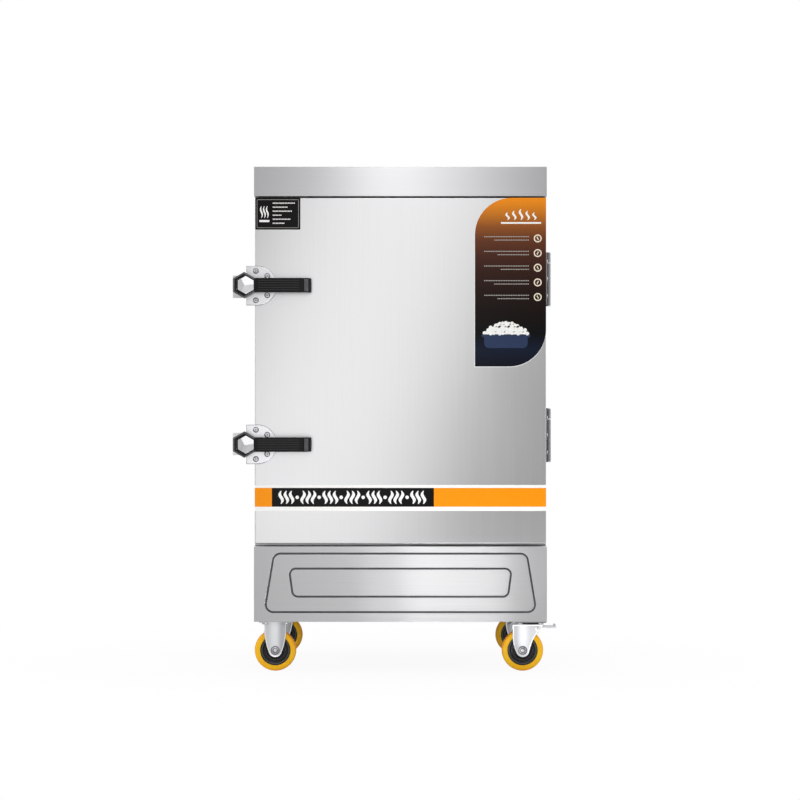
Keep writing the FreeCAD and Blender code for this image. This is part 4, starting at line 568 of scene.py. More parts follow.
# The big corner sticker fades from orange at its top to near black, then a cold dark blue.
STICKER_LOW = (DOOR_RIGHT - 170 * MM, DOOR_TOP - 403 * MM)
STICKER_HIGH = (DOOR_RIGHT, DOOR_TOP)
FADE = [
    (0.0, "#0B0E18"), (0.1, "#10182C"), (0.19, "#06070C"), (0.26, "#0C0706"), (0.36, "#160B08"),
    (0.46, "#22110C"), (0.56, "#301811"), (0.66, "#432318"), (0.75, "#5E331D"), (0.83, "#8A4D1F"),
    (0.91, "#C0711B"), (1.0, "#EA8A12"),
]
fade_ink, tree, shader, place = start_material("laminated_vinyl_faded", "#5B321E", 0, 0.3)
height = add_node(tree, "ShaderNodeSeparateXYZ", {0: place})
along = add_node(tree, "ShaderNodeMapRange", {
    "Value": height.outputs["Z"], "From Min": STICKER_LOW[1], "From Max": STICKER_HIGH[1],
})
ramp = add_node(tree, "ShaderNodeValToRGB", {0: along.outputs[0]})
while len(ramp.color_ramp.elements) < len(FADE):
    ramp.color_ramp.elements.new(0.5)
for stop, (position, colour) in zip(ramp.color_ramp.elements, FADE):
    stop.position = position
for stop, (position, colour) in zip(ramp.color_ramp.elements, FADE):
    stop.color = linear(colour)
mottle = add_node(tree, "ShaderNodeTexNoise", {"Vector": place, "Scale": 120, "Detail": 2})
dull = add_node(tree, "ShaderNodeMapRange", {"Value": mottle.outputs[0], "To Min": 0.26, "To Max": 0.36})
set_inputs(shader, {
    "Base Color": ramp.outputs[0], "Roughness": dull.outputs[0], "Specular IOR Level": 0.12,
})
ROUND = 88 * MM
# The clear laminate reaches 1.5 mm past the ink and shows as a pale line round it.
BORDER = 1.5 * MM
print_on_door("sticker_laminate_border", [patch(
    "border", (STICKER_LOW[0] - BORDER, STICKER_LOW[1] - BORDER), STICKER_HIGH, 0, white_ink,
    (0, ROUND, 0, ROUND + BORDER), thickness=FILM,
)])
sticker_film = print_on_door("sticker_film", [
    patch("sticker_base", STICKER_LOW, STICKER_HIGH, 1, fade_ink, (0, ROUND, 0, ROUND), thickness=FILM),
])
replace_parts(sticker_film, "door_films")


def on_sticker(across, up):
    """A place on the sticker, in millimetres from its low left corner."""
    return (STICKER_LOW[0] + across * MM, STICKER_LOW[1] + up * MM)


warm_ink = laminated_vinyl("cream", "#F2E6CF", 0.35)
cold_ink = laminated_vinyl("slate", "#2C3A58", 0.3)
# Five wisps over a tray line make the head; ruled strokes with rings on their right follow.
head = []
for index in range(5):
    x, z = on_sticker(78 + index * 16, 350)
    head.append(curl(x, z, (26 - 4 * abs(index - 2)) * MM, 6 * MM, 3 * MM, 2, white_ink))
head.append(patch("head_line", on_sticker(62, 341), on_sticker(158, 345), 2, white_ink, (1 * MM,) * 4))
print_on_door("sticker_print_head", head)
rows = []
for index in range(5):
    middle = 306 - index * 35
    rows.append(disc(on_sticker(150, middle), 9.5 * MM, 2, warm_ink, 6.8 * MM))
    x, z = on_sticker(150, middle - 4.5)
    rows.append(curl(x, z, 9 * MM, 3 * MM, 1.2 * MM * (-1) ** index, 2, warm_ink))
    for line, start in enumerate((22, 46 + 8 * (index % 3))):
        left, foot = on_sticker(start, middle + 3 - 8 * line)
        right = STICKER_LOW[0] + 132 * MM
        rows.append(dashes(foot, left, right, 2.2 * MM, 2, grey_ink, 4.0))
print_on_door("sticker_print_rows", rows)
# At the foot stands a wide slate blue tray, heaped with pale grains.
print_on_door("sticker_print_tray", [
    patch("tray_body", on_sticker(22, 44), on_sticker(126, 72), 2, cold_ink, (12 * MM, 12 * MM, 0, 0)),
    patch("tray_rim", on_sticker(16, 70), on_sticker(132, 77), 3, cold_ink, (3 * MM,) * 4),
])
print_on_door("sticker_print_mound", [
    patch("mound", on_sticker(24, 76), on_sticker(124, 88), 2, warm_ink, (0, 0, 9 * MM, 9 * MM)),
    patch("mound_top", on_sticker(42, 86), on_sticker(106, 104), 2, warm_ink, (0, 0, 16 * MM, 16 * MM)),
])
grains = []
for level_index, (count, rise) in enumerate(((15, 80), (13, 86), (11, 92), (8, 98), (5, 103))):
    for index in range(count):
        across = 74 + (index - (count - 1) / 2) * 7.3 + (level_index % 2) * 1.8
        spot = on_sticker(across, rise + 1.3 * math.sin(index * 2.1 + level_index))
        grains.append(disc(spot, 4.4 * MM, 3 + 1.1 * ((index + 2 * level_index) % 4), white_ink))
print_on_door("sticker_print_grains", grains)

# Latches: a die-cast base screwed to the door's left edge, a moulded lever on a hexagonal hub
# over it, and a chromed cap with facets on the shaft's end. The keeper is a bent plate.


def mottled(name, look, noise, tones=None, shine=None, relief=None, grain=None, more=None):
    """A finish whose colour, gloss and relief wander with one noise.

    Its look is a colour, metallic and roughness. The noise has a scale and a detail, the relief a
    strength and a depth in mm, and with a grain the relief has its own noise of that scale. More
    holds further inputs of the shader.
    """
    material, tree, shader, place = start_material(name, *look)
    cloud = add_node(tree, "ShaderNodeTexNoise", {
        "Vector": place, "Scale": noise[0], "Detail": noise[1],
    })
    inputs = dict(more or {})
    if tones:
        tone = add_node(tree, "ShaderNodeMix", {
            0: cloud.outputs[0], 6: linear(tones[0]), 7: linear(tones[1]),
        }, data_type="RGBA")
        inputs["Base Color"] = tone.outputs[2]
    if shine:
        dull = add_node(tree, "ShaderNodeMapRange", {
            "Value": cloud.outputs[0], "To Min": shine[0], "To Max": shine[1],
        })
        inputs["Roughness"] = dull.outputs[0]
    if grain:
        cloud = add_node(tree, "ShaderNodeTexNoise", {"Vector": place, "Scale": grain, "Detail": 2})
    if relief:
        bumps = add_node(tree, "ShaderNodeBump", {
            "Height": cloud.outputs[0], "Strength": relief[0], "Distance": relief[1] * MM,
        })
        inputs["Normal"] = bumps.outputs[0]
    set_inputs(shader, inputs)
    return material


chrome = mottled(
    "polished_chromed_casting", ("#D6D7DA", 1, 0.16), (90, 2), shine=(0.10, 0.24), relief=(0.12, 0.2),
)

# Glass-filled nylon: near black, with a fine spark-eroded grain of about 0.2 mm that breaks up
# the gloss, drawn at 0.8 mm so that it shows.
moulded_black = mottled(
    "moulded_glass_filled_nylon_black", ("#0C0C0D", 0, 0.34), (60, 2), ("#030304", "#0B0B0C"),
    (0.26, 0.42), (0.18, 0.05), 1 / (0.8 * MM), {"Specular IOR Level": 0.17},
)

# The hub's chamfer and the grip's bend are painted a paler black, a painted highlight; the bottoms of the
# finger grooves are painted dark grey, a painted highlight of the grooves.
edge_highlight_black = mottled(
    "nylon_edge_painted_highlight", ("#4A4A4D", 0, 0.3), (110, 3), ("#28282B", "#56565A"), (0.24, 0.38),
)
groove_highlight_black = mottled(
    "nylon_groove_painted_highlight", ("#242426", 0, 0.4), (150, 2), ("#1B1B1D", "#303033"),
    more={"Specular IOR Level": 0.3},
)

# The base's face is polished and bright; the edge round it is painted darker, a painted shade, and the
# same dark chrome paints shade on washers, pedals and swivel plates.
satin_chrome = mottled(
    "satin_chromed_casting", ("#DCDCDF", 1, 0.3), (40, 2), ("#CFCFD3", "#E4E4E6"), (0.26, 0.4),
)
shade_chrome = mottled(
    "chrome_painted_shade", ("#77787D", 1, 0.35), (80, 2), ("#67686D", "#8B8C91"),
)
keeper_steel = rolled_steel(
    "pressed_stainless_plate", "#DCDCDE", "#E4E4E5", (0.3, 0.42), (0.004, 0.004, 0.06),
)
bases = finished_copy(
    "latch_bases", "latch_base_castings", "door", satin_chrome, 0.5, 35,
)
# Painted shade: the base's rounded edge is painted dark chrome.
repaint(bases, shade_chrome, lambda middle, normal: normal.y > -0.8 and middle.y < FRONT_Y)

# The hub's middle from the lever's left end, the chamfer round the hub as two radii and a depth,
# the start and half height of the grip's bend, and the depth of its finger grooves.
HUB_FROM_END = 31.2 * MM
CHAMFER = (22 * MM, 33 * MM)
CHAMFER_DEPTH = 4.1 * MM
BEND_START = 130 * MM
BEND_HALF = 14 * MM
FINGER_GROOVE = 2.8 * MM
# The spindle's own head ends this far behind the hub's face, and the faceted cap replaces it.
PLAIN_HEAD = 1.9 * MM
for level_name in ("upper", "lower"):
    body = f"{level_name}_latch"
    lever = finished_copy(
        f"{level_name}_latch_lever", f"{level_name}_lever_grip", body, moulded_black,
        0.7, 35,
    )
    low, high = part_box(f"{level_name}_latch_lever")
    hub = Vector((low.x + HUB_FROM_END, low.y, (low.z + high.z) / 2))
    # Painted highlights: the hub's chamfer and a band at the grip's bend are painted paler black.
    repaint(lever, edge_highlight_black, lambda middle, normal: (
        -0.95 < normal.y < -0.3 and middle.y < hub.y + CHAMFER_DEPTH
        and CHAMFER[0] < math.hypot(middle.x - hub.x, middle.z - hub.z) < CHAMFER[1]
    ))
    repaint(lever, edge_highlight_black, lambda middle, normal: (
        0.3 < normal.x < 0.72 and normal.y < -0.6 and abs(middle.z - hub.z) < BEND_HALF
        and middle.x > hub.x + BEND_START
    ))
    # Painted highlight: the finger grooves' bottoms are painted dark grey.
    repaint(lever, groove_highlight_black, lambda middle, normal: (
        normal.y < -0.9 and abs(middle.y - hub.y - FINGER_GROOVE) < 0.1 * MM
    ))
    # The cap is cast with three facets that meet left of its middle: a hexagonal slug is cut
    # by three planes through that point.
    finished_copy(
        f"{level_name}_latch_shaft", f"{level_name}_shaft_spindle", body, chrome,
        0.25, 15, unwanted=lambda corners: all(corner.y < hub.y + PLAIN_HEAD for corner in corners),
    )
    facets = new_shape(
        bpy.ops.mesh.primitive_cylinder_add, vertices=6, radius=21.6 * MM, depth=10 * MM,
        location=(hub.x, hub.y - 3 * MM, hub.z), rotation=FACING,
    )
    facets.name = f"{level_name}_faceted_cap"
    point = Vector((hub.x - 3 * MM, hub.y - 8 * MM, hub.z - 1 * MM))
    # Each plane has the way it leans, in degrees round the cap, and how steeply.
    for lean, slope in ((185, 22), (62, 15), (305, 20)):
        edit_all()
        lean = math.radians(lean)
        slope = math.radians(slope)
        bpy.ops.mesh.bisect(plane_co=point, use_fill=True, clear_outer=True, plane_no=(
            math.cos(lean) * math.sin(slope), -math.cos(slope), math.sin(lean) * math.sin(slope),
        ))
        bpy.ops.object.mode_set(mode="OBJECT")
    round_edges(facets, 0.4, 12)
    bpy.ops.object.shade_smooth_by_angle(angle=math.radians(8))
    facets.data.materials.append(satin_chrome)
    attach(facets, body)
    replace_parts(facets, f"{level_name}_latch_shaft")
finished_copy("latch_keepers", "latch_keeper_plates", "cabinet", keeper_steel, 0.5)

# Screws: turned stainless pan heads with a pressed cross recess. The latch screws sit in small
# turned cup washers.

turned_steel = mottled("turned_stainless_steel", ("#C9CACC", 1, 0.28), (900, 1), shine=(0.2, 0.36))
dark_recess = mottled(
    "pressed_recess_in_shade", ("#5B5B5D", 1, 0.5), (700, 1), ("#47474A", "#6B6B6E"),
)


def loose_boxes(piece):
    """The low and high corner of every loose part of a mesh."""
    look = bmesh.new()
    look.from_mesh(piece.data)
    boxes = []
    seen = set()
    for start in look.verts:
        if start in seen:
            continue
        island = [start]
        seen.add(start)
        for vertex in island:
            for edge in vertex.link_edges:
                other = edge.other_vert(vertex)
                if other not in seen:
                    seen.add(other)
                    island.append(other)
        boxes.append([
            Vector([end(vertex.co[axis] for vertex in island) for axis in range(3)])
            for end in (min, max)
        ])
    look.free()
    return boxes


def cut_crosses(piece, spots):
    """Cuts a cross recess at each spot, given as its middle and the axis that the head faces."""
    blades = []
    for middle, axis in spots:
        for long_axis in sorted({0, 1, 2} - {axis}):
            breadths = [1.3 * MM] * 3
            breadths[axis] = 2.4 * MM
            breadths[long_axis] = 6.4 * MM
            blade = new_shape(bpy.ops.mesh.primitive_cube_add, breadths, size=1, location=middle)
            blade.data.materials.append(dark_recess)
            blades.append(blade)
    cutter = joined("cross_cutter", blades)
    piece.data.materials.append(dark_recess)
    pick(piece)
    recess = piece.modifiers.new("recess", "BOOLEAN")
    recess.object = cutter
    recess.solver = "EXACT"
    recess.use_self = True
    bpy.ops.object.modifier_apply(modifier=recess.name)
    bpy.data.objects.remove(cutter, do_unlink=True)


def torus(middle, radii, segments, squash, turn=(0, 0, 0)):
    """A ring with its large and small radius in mm, flattened along its own axis."""
    piece = new_shape(
        bpy.ops.mesh.primitive_torus_add, (1, 1, squash), location=middle, rotation=turn,
        major_radius=radii[0] * MM, minor_radius=radii[1] * MM,
        major_segments=segments[0], minor_segments=segments[1],
    )
    bpy.ops.object.shade_smooth()
    return piece


# Screws nearer than this to the door's right edge hold the hinges and face sideways; the others
# hold the latches, with a cup washer this far in front of their foot.
HINGE_EDGE = 50 * MM
CUP_RISE = 8 * MM
door_screws = finished_copy(
    "door_screws", "door_pan_head_screws", "door", turned_steel, 1.1,
)
heads = []
cups = []
for low, high in loose_boxes(door_screws):
    middle = (low + high) / 2
    if high.x < DOOR_RIGHT - HINGE_EDGE:
        heads.append((Vector((middle.x, low.y, middle.z)), 1))
        cups.append(Vector((middle.x, high.y - CUP_RISE, middle.z)))
    else:
        heads.append((Vector((high.x, middle.y, middle.z)), 0))
cut_crosses(door_screws, heads)
# The cup washers are painted dark chrome, a painted shade round each screw head.
washers = joined("latch_cup_washers", [
    torus(middle, (5.9, 1.1), (28, 8), 0.8, FACING) for middle in cups
])
washers.data.materials.append(shade_chrome)
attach(washers, "door")
cabinet_screws = finished_copy(
    "cabinet_screws", "cabinet_pan_head_screws", "cabinet", turned_steel, 1.1,
)
heads = []
for low, high in loose_boxes(cabinet_screws):
    middle = (low + high) / 2
    outside = high.x if middle.x > MIDDLE_X else low.x
    heads.append((Vector((outside, middle.y, middle.z)), 0))
cut_crosses(cabinet_screws, heads)

# Hinges: butt hinges of pressed stainless strip rolled round a steel pin, with a white nylon
# washer between the upper knuckles.

nylon = mottled(
    "turned_white_nylon", ("#E9E8E2", 0, 0.45), (300, 2), ("#DAD8D0", "#F1F0EA"),
    more={"Subsurface Weight": 0.1, "Subsurface Scale": 0.002},
)
hinge_steel = rolled_steel(
    "pressed_stainless_strip", "#8C8C90", "#A9A9AC", (0.24, 0.34), (0.003, 0.003, 0.05),
)
finished_copy(
    "hinge_leaves_cabinet", "hinge_leaves_on_cabinet", "cabinet", hinge_steel, 0.45,
)
finished_copy("hinge_leaves_door", "hinge_leaves_on_door", "door", hinge_steel, 0.45)
finished_copy("hinge_pins", "hinge_pins_with_caps", "cabinet", turned_steel, 0.8)
finished_copy("hinge_washers", "hinge_nylon_washers", "cabinet", nylon, 0.3)

# Casters: pressed steel forks and plates with bright zinc plating, black moulded cores, and
# orange polyurethane cast round them. The plating has a faint blue and yellow cast.

zinc = mottled(
    "bright_zinc_plated_pressing", ("#CFD1D4", 1, 0.4), (25, 2), ("#C8CBD0", "#D6D6D4"), (0.36, 0.44),
)

# Each leg's middle is painted brightest and its flanks greyer, a painted sheen of a crowned leg: both
# legs of a pair stand LEG_REACH from a plane that is LEG_PLANE right of the frame's.
LEG_PLANE = 11.5 * MM
LEG_REACH = 297.5 * MM
sheen_leg_zinc, tree, shader, place = start_material("zinc_leg_painted_sheen", "#D2D4D7", 1, 0.36)
parts = add_node(tree, "ShaderNodeSeparateXYZ", {"Vector": place})
shifted = add_node(tree, "ShaderNodeMath", {
    0: parts.outputs["X"], 1: LEG_PLANE,
}, operation="SUBTRACT")
folded = add_node(tree, "ShaderNodeMath", {0: shifted.outputs[0]}, operation="ABSOLUTE")
across = add_node(tree, "ShaderNodeMath", {0: folded.outputs[0], 1: LEG_REACH}, operation="SUBTRACT")
inner = add_node(tree, "ShaderNodeMapRange", {
    "Value": across.outputs[0], "From Min": -17 * MM, "From Max": -1 * MM,
}, interpolation_type="SMOOTHSTEP")
outer = add_node(tree, "ShaderNodeMapRange", {
    "Value": across.outputs[0], "From Min": 3 * MM, "From Max": 20 * MM, "To Min": 1.0, "To Max": 0.45,
}, interpolation_type="SMOOTHSTEP")
painted_sheen = add_node(tree, "ShaderNodeMath", {
    0: inner.outputs[0], 1: outer.outputs[0],
}, operation="MULTIPLY")
spangle = add_node(tree, "ShaderNodeTexNoise", {"Vector": place, "Scale": 25, "Detail": 2})
cloudy = add_node(tree, "ShaderNodeMix", {0: 0.15, 2: painted_sheen.outputs[0], 3: spangle.outputs[0]})
tone = add_node(tree, "ShaderNodeMix", {
    0: cloudy.outputs[0], 6: linear("#B2B4B9"), 7: linear("#F0F1F3"),
}, data_type="RGBA")
dull = add_node(tree, "ShaderNodeMapRange", {"Value": spangle.outputs[0], "To Min": 0.32, "To Max": 0.42})
set_inputs(shader, {"Base Color": tone.outputs[2], "Roughness": dull.outputs[0]})
lip_highlight_zinc = mottled("zinc_lip_painted_highlight", ("#F6F6F8", 1, 0.34), (60, 2), ("#F0F0F3", "#FBFBFC"))

# Cast polyurethane: clear orange that lets a little light in. The tread is painted a deeper orange,
# partly because the cast is thickest there and partly as a painted shade of the rim.
cast_orange = mottled(
    "cast_polyurethane_orange", ("#FFAE08", 0, 0.36), (35, 2), ("#FFAA08", "#FFD41A"), (0.3, 0.44),
    more={
        "Specular IOR Level": 0.25, "Subsurface Weight": 0.1, "Subsurface Radius": (1.0, 0.35, 0.05),
        "Subsurface Scale": 0.006,
    },
)
tread_shade_orange = mottled(
    "polyurethane_tread_painted_shade", ("#FF9608", 0, 0.4), (35, 2), ("#FA8606", "#FFA60C"),
    more={"Specular IOR Level": 0.25},
)

# Moulded polypropylene for the cores: black with a faint satin, its ridges painted dark grey, a painted
# highlight.
moulded_core = mottled(
    "moulded_polypropylene_black", ("#0E0E0F", 0, 0.3), (120, 2), ("#09090A", "#161618"), (0.22, 0.36),
)
ridge_highlight_core = mottled(
    "polypropylene_ridge_painted_highlight", ("#3A3A3D", 0, 0.35), (150, 3), ("#2F2F32", "#454548"),
)


def from_axle(spot, axle):
    """A spot's distance from a wheel's axle."""
    return math.hypot(spot.x - axle.x, spot.z - axle.z)


def spun(name, middle, profile, material):
    """A ring turned about the wheel's axle: the profile holds (radius, half width) in mm."""
    section = [(radius, -half) for radius, half in profile] + [
        (radius, half) for radius, half in reversed(profile) if half
    ]
    count = len(section)
    corners = [(middle.x + radius * MM, middle.y + along * MM, middle.z) for radius, along in section]
    mesh = bpy.data.meshes.new(name)
    mesh.from_pydata(corners, [(index, (index + 1) % count) for index in range(count)], [])
    piece = bpy.data.objects.new(name, mesh)
    bpy.context.collection.objects.link(piece)
    pick(piece)
    edit_all()
    bpy.ops.mesh.spin(steps=72, angle=2 * math.pi, center=middle, axis=(0, 1, 0))
    bpy.ops.mesh.select_all(action="SELECT")
    bpy.ops.mesh.remove_doubles(threshold=0.01 * MM)
    bpy.ops.mesh.normals_make_consistent(inside=False)
    bpy.ops.object.mode_set(mode="OBJECT")
    bpy.ops.object.shade_smooth_by_angle(angle=math.radians(32))
    mesh.materials.append(material)
    return piece


TYRE = [
    (36.5, 14.2), (37.6, 14.5), (38.4, 15.0), (42.0, 15.0), (43.6, 14.9), (45.2, 14.5), (46.8, 13.6),
    (48.2, 12.2), (49.2, 10.4), (49.7, 8.4), (49.9, 5.6), (50.0, 2.8), (50.0, 0),
]
CORE = [
    (5.05, 16.5), (9.6, 16.5), (10.6, 16.1), (11.0, 15.4), (11.3, 8.0), (13.4, 7.4), (14.2, 7.7),
    (15.6, 10.6), (16.6, 11.0), (17.6, 10.6), (18.8, 7.9), (20.2, 7.6), (21.2, 8.0), (22.3, 10.9),
    (23.2, 11.3), (24.1, 10.9), (25.2, 8.2), (27.6, 7.8), (28.8, 8.4), (30.2, 12.6), (31.0, 13.6),
    (32.0, 14.0), (33.4, 14.0), (35.2, 14.0), (36.1, 13.7), (36.45, 13.0),
]
# From these radii outwards a tyre is painted deep orange, partly a painted shade; between each pair of
# radii a core is painted dark grey, a painted highlight.
TREAD = 47.5 * MM
RIDGES = ((28.9 * MM, 33.4 * MM), (21.5 * MM, 24.8 * MM))
AXLES = {}
for corner in ("front_left", "rear_left", "front_right", "rear_right"):
    low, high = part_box(f"{corner}_tyre")
    axle = (low + high) / 2
    AXLES[corner] = axle
    tyre = spun(f"{corner}_orange_tyre", axle, TYRE, cast_orange)
    # Painted shade, in part: the tread beyond TREAD is painted deeper orange.
    repaint(tyre, tread_shade_orange, lambda middle, normal: from_axle(middle, axle) > TREAD)
    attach(tyre, f"{corner}_wheel")
    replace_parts(tyre, f"{corner}_tyre")
    core = spun(f"{corner}_black_core", axle, CORE, moulded_core)
    # Painted highlight: the ridges are painted dark grey.
    repaint(core, ridge_highlight_core, lambda middle, normal: any(
        inner < from_axle(middle, axle) < outer for inner, outer in RIDGES
    ))
    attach(core, f"{corner}_wheel")
    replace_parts(core, f"{corner}_wheel_core")

# Forks and axle bolts. The legs' rims are pressed over into a lip that is painted bright, a painted
# highlight, and each axle bolt gets a washer, a hexagon and a domed end in place of the plain bolt of the
# node.

# A leg's outer face lies LEG_FACE from the wheel's middle plane, and the node's plain bolt is
# within BOLT_RADIUS of the axle.
LEG_FACE = 20 * MM
BOLT_RADIUS = 11.2 * MM


def of_a_bolt(corners):
    """True where a face with these corners belongs to a fork's plain axle bolt, not to the fork."""
    for axle in AXLES.values():
        across = [abs(corner.y - axle.y) for corner in corners]
        along = [corner.y for corner in corners]
        near = all(from_axle(corner, axle) < BOLT_RADIUS for corner in corners)
        if near and (min(across) > LEG_FACE - 0.05 * MM or max(along) - min(along) > 30 * MM):
            return True
    return False


def axle_bolt(name, corner, body):
    """A bolt through the wheel: a shank, washers, hexagons and domed ends on both sides."""
    axle = AXLES[corner]
    # Each step has its two ends from the wheel's middle, its radius, its corners and its rounding.
    # The washers and the ring under each domed end are painted dark chrome, a painted shade.
    steps = [(-24.5, 24.5, 4.9, 32, 1.4, turned_steel)]
    for side in (-1, 1):
        steps += [
            (side * 20.0, side * 21.2, 10.8, 40, 0.3, shade_chrome),
            (side * 21.2, side * 24.8, 8.8, 6, 0.5, satin_chrome),
            (side * 24.8, side * 25.4, 6.6, 32, 0.2, shade_chrome),
            (side * 25.4, side * 25.95, 4.2, 32, 0.2, satin_chrome),
        ]
    pieces = []
    for start, end, radius, vertices, bevel, material in steps:
        piece = new_shape(
            bpy.ops.mesh.primitive_cylinder_add, vertices=vertices, radius=radius * MM,
            depth=abs(end - start) * MM, rotation=FACING,
            location=(axle.x, axle.y + (start + end) / 2 * MM, axle.z),
        )
        round_edges(piece, bevel, 40, 3)
        bpy.ops.object.shade_smooth_by_angle(angle=math.radians(30))
        piece.data.materials.append(material)
        pieces.append(piece)
    bolt = joined(name, pieces)
    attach(bolt, body)
    return bolt


def legs_with_lips(node, name, body, corners):
    """A fork whose legs' outer flats are sunk by 0.4 mm, inside a rim 2.4 mm wide that is painted bright,
    a painted highlight.
    """
    fork = finished_copy(node, name, body, sheen_leg_zinc, 0.9, unwanted=of_a_bolt)
    pick(fork)
    bpy.ops.object.mode_set(mode="EDIT")
    bpy.ops.mesh.select_mode(type="FACE")
    mark_faces(fork, lambda face: abs(face.normal.y) > 0.999 and any(
        abs(abs(face.calc_center_median().y - AXLES[corner].y) - LEG_FACE) < 0.4 * MM
        for corner in corners
    ))
    bpy.ops.mesh.inset(thickness=2.4 * MM, depth=-0.4 * MM)
    bpy.ops.mesh.customdata_custom_splitnormals_clear()
    bpy.ops.object.mode_set(mode="OBJECT")
    shade(fork, 30)
    # Painted highlight: the rim's sloping faces are painted near white.
    repaint(fork, lip_highlight_zinc, lambda middle, normal: 0.15 < abs(normal.y) < 0.997)


legs_with_lips("rigid_forks", "left_rigid_forks", "cabinet", ("front_left", "rear_left"))
for end in ("front", "rear"):
    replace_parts(axle_bolt(f"{end}_left_axle_bolt", f"{end}_left", "cabinet"), "rigid_forks")
for end in ("front", "rear"):
    body = f"{end}_right_swivel"
    legs_with_lips(f"{end}_right_swivel_fork", f"{end}_right_fork", body, (f"{end}_right",))
    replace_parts(axle_bolt(f"{end}_right_axle_bolt", f"{end}_right", body), f"{end}_right_swivel_fork")
    pedal = finished_copy(
        f"{end}_right_brake_pedal", f"{end}_right_pedal_pressing", f"{end}_right_brake",
        zinc, 0.5,
    )
    # Painted shade: the pedal's upward faces are painted dark chrome.
    repaint(pedal, shade_chrome, lambda middle, normal: normal.z > 0.3)
# The swivel plates are painted dark chrome, a painted shade of the gap under the plinth.
finished_copy("swivel_plates", "right_swivel_plates", "cabinet", shade_chrome, 0.5)
# A black ring in the cores' finish is put in as a painted shade of the dark gap at each swivel's ball
# race, RACE right of the fork's end.
RACE = 42 * MM
for end in ("front", "rear"):
    low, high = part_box(f"{end}_right_swivel_fork")
    middle = (low.x + RACE, AXLES[f"{end}_right"].y, high.z + 2.4 * MM)
    shade_ring = torus(middle, (24, 2.6), (48, 12), 0.9)
    shade_ring.name = f"{end}_right_race_shade_ring"
    shade_ring.data.materials.append(moulded_core)
    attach(shade_ring, "cabinet")
finished_copy("caster_bolts", "caster_mounting_bolts", "cabinet", turned_steel, 0.5)
finished_copy("base_frame", "base_angle_frame", "cabinet", zinc, 0.5)

# Inside: liner, racks and trays of plain mill-finish stainless, which is smoother and greyer
# than the outside, with the door's bellows seal of grey silicone.

mill_steel = rolled_steel(
    "mill_finish_stainless_sheet", "#B6B6B8", "#C4C4C5", (0.26, 0.38), (0.2, 0.004, 0.004),
)
drawn_steel = rolled_steel(
    "deep_drawn_stainless", "#BDBDBE", "#CDCDCD", (0.18, 0.3), (0.05, 0.05, 0.01),
)
trays = [(f"tray_{index}", f"rice_tray_{index}", "cabinet", drawn_steel, 0.25) for index in range(1, 7)]
for node, name, body, material, edge in (
    ("chamber_liner", "steam_chamber_liner", "cabinet", mill_steel, 0.3),
    ("door_liner", "door_inner_pan", "door", mill_steel, 0.5),
    ("tray_racks", "tray_rack_frames", "cabinet", mill_steel, 0.25),
    *trays,
    ("water_tank", "water_tank_pan", "cabinet", mill_steel, 0.25),
    ("steam_plate", "perforated_steam_plate", "cabinet", mill_steel, 0.2),
):
    finished_copy(node, name, body, material, edge)

silicone = mottled(
    "extruded_silicone_grey", ("#8F8F8C", 0, 0.55), (70, 3), ("#7E7E7B", "#A2A29E"), relief=(0.2, 0.2),
)
seal = finished_copy("door_gasket", "door_bellows_seal", "door", silicone, 2.4)
# A fold runs round the seal: its face to the cabinet is inset and pushed in.
pick(seal)
rear = max(vertex.co.y for vertex in seal.data.vertices)
mark_faces(seal, lambda face: (
    face.normal.y > 0.95 and abs(face.calc_center_median().y - rear) < 0.2 * MM
))
bpy.ops.mesh.inset(thickness=1.4 * MM, depth=-2.2 * MM)
bpy.ops.object.mode_set(mode="OBJECT")
bpy.ops.object.shade_smooth_by_angle(angle=math.radians(45))

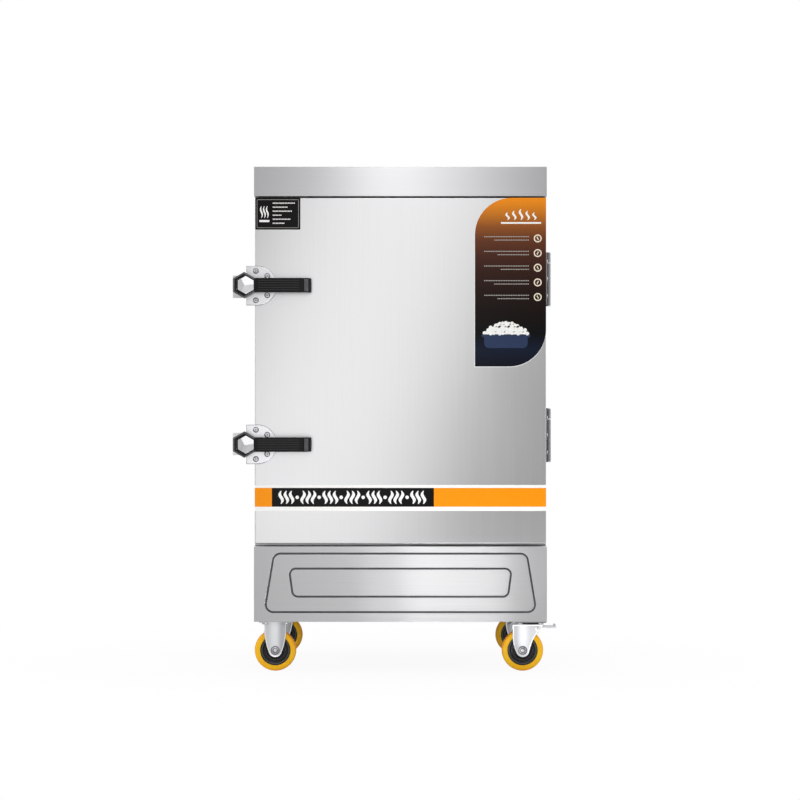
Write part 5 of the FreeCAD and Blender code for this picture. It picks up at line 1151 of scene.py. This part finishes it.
# The foam between the walls: rigid polyurethane, foamed in place, with a close cellular skin.
foam, tree, shader, place = start_material("foamed_rigid_polyurethane", "#D8C58E", 0, 0.8)
cells = add_node(tree, "ShaderNodeTexVoronoi", {"Vector": place, "Scale": 1 / (2.5 * MM)})
tone = add_node(tree, "ShaderNodeMix", {
    0: cells.outputs["Distance"], 6: linear("#C4AE74"), 7: linear("#E2D2A2"),
}, data_type="RGBA")
pores = add_node(tree, "ShaderNodeBump", {
    "Height": cells.outputs["Distance"], "Strength": 0.5, "Distance": 0.4 * MM,
})
set_inputs(shader, {"Base Color": tone.outputs[2], "Normal": pores.outputs[0]})
for node in ("insulation", "door_insulation"):
    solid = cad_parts[node]
    for slot_index in range(len(solid.material_slots)):
        solid.material_slots[slot_index].material = foam

# Heater and fittings at the back: heat-tinted tube, turned brass, a dipped red lever, a spun
# float, a vent pipe, and covers folded from the same sheet as the sides.

tinted_tube, tree, shader, place = start_material("heat_tinted_steel_tube", "#8A8078", 1, 0.38)
heat = add_node(tree, "ShaderNodeTexNoise", {"Vector": place, "Scale": 18, "Detail": 3})
tint = add_node(tree, "ShaderNodeValToRGB", {0: heat.outputs[0]})
for stop, (position, colour) in zip(tint.color_ramp.elements, ((0.35, "#6E665F"), (0.65, "#9C8B74"))):
    stop.position = position
    stop.color = linear(colour)
set_inputs(shader, {"Base Color": tint.outputs[0]})
brass = mottled(
    "turned_brass", ("#C9A45C", 1, 0.28), (60, 3), ("#A98545", "#D8B66C"), (0.2, 0.42),
)
dipped_red = mottled(
    "dipped_vinyl_red", ("#B7140F", 0, 0.38), (90, 2), ("#9E0F0B", "#C91C14"), relief=(0.12, 0.3),
)
for node, name, body, slot, material, edge in (
    ("heater", "heater_elements_and_flange", "cabinet", "heater_steel", tinted_tube, 0.3),
    ("float_valve", "float_inlet_valve", "cabinet", "brass", brass, 0.5),
    ("drain_valve", "drain_ball_valve", "cabinet", "brass", brass, 0.5),
    ("drain_lever", "drain_lever_grip", "drain_handle", "lever_paint", dipped_red, 0.8),
    ("float_arm", "float_ball_and_arm", "float", "float_steel", drawn_steel, 0.3),
    ("steam_vent_pipe", "steam_vent_stub", "cabinet", "inner_steel", mill_steel, 0.4),
    ("terminal_cover", "terminal_box_cover", "cabinet", "outer_steel", side_steel, 0.4),
    ("float_box", "float_box_with_feed", "cabinet", "outer_steel", side_steel, 0.4),
    ("float_box_lid", "float_box_cover_lid", "cabinet", "outer_steel", side_steel, 0.4),
    ("cable_gland", "cable_gland_nut", "cabinet", "black_plastic", moulded_black, 0.6),
):
    finished_copy(node, name, body, material, edge)
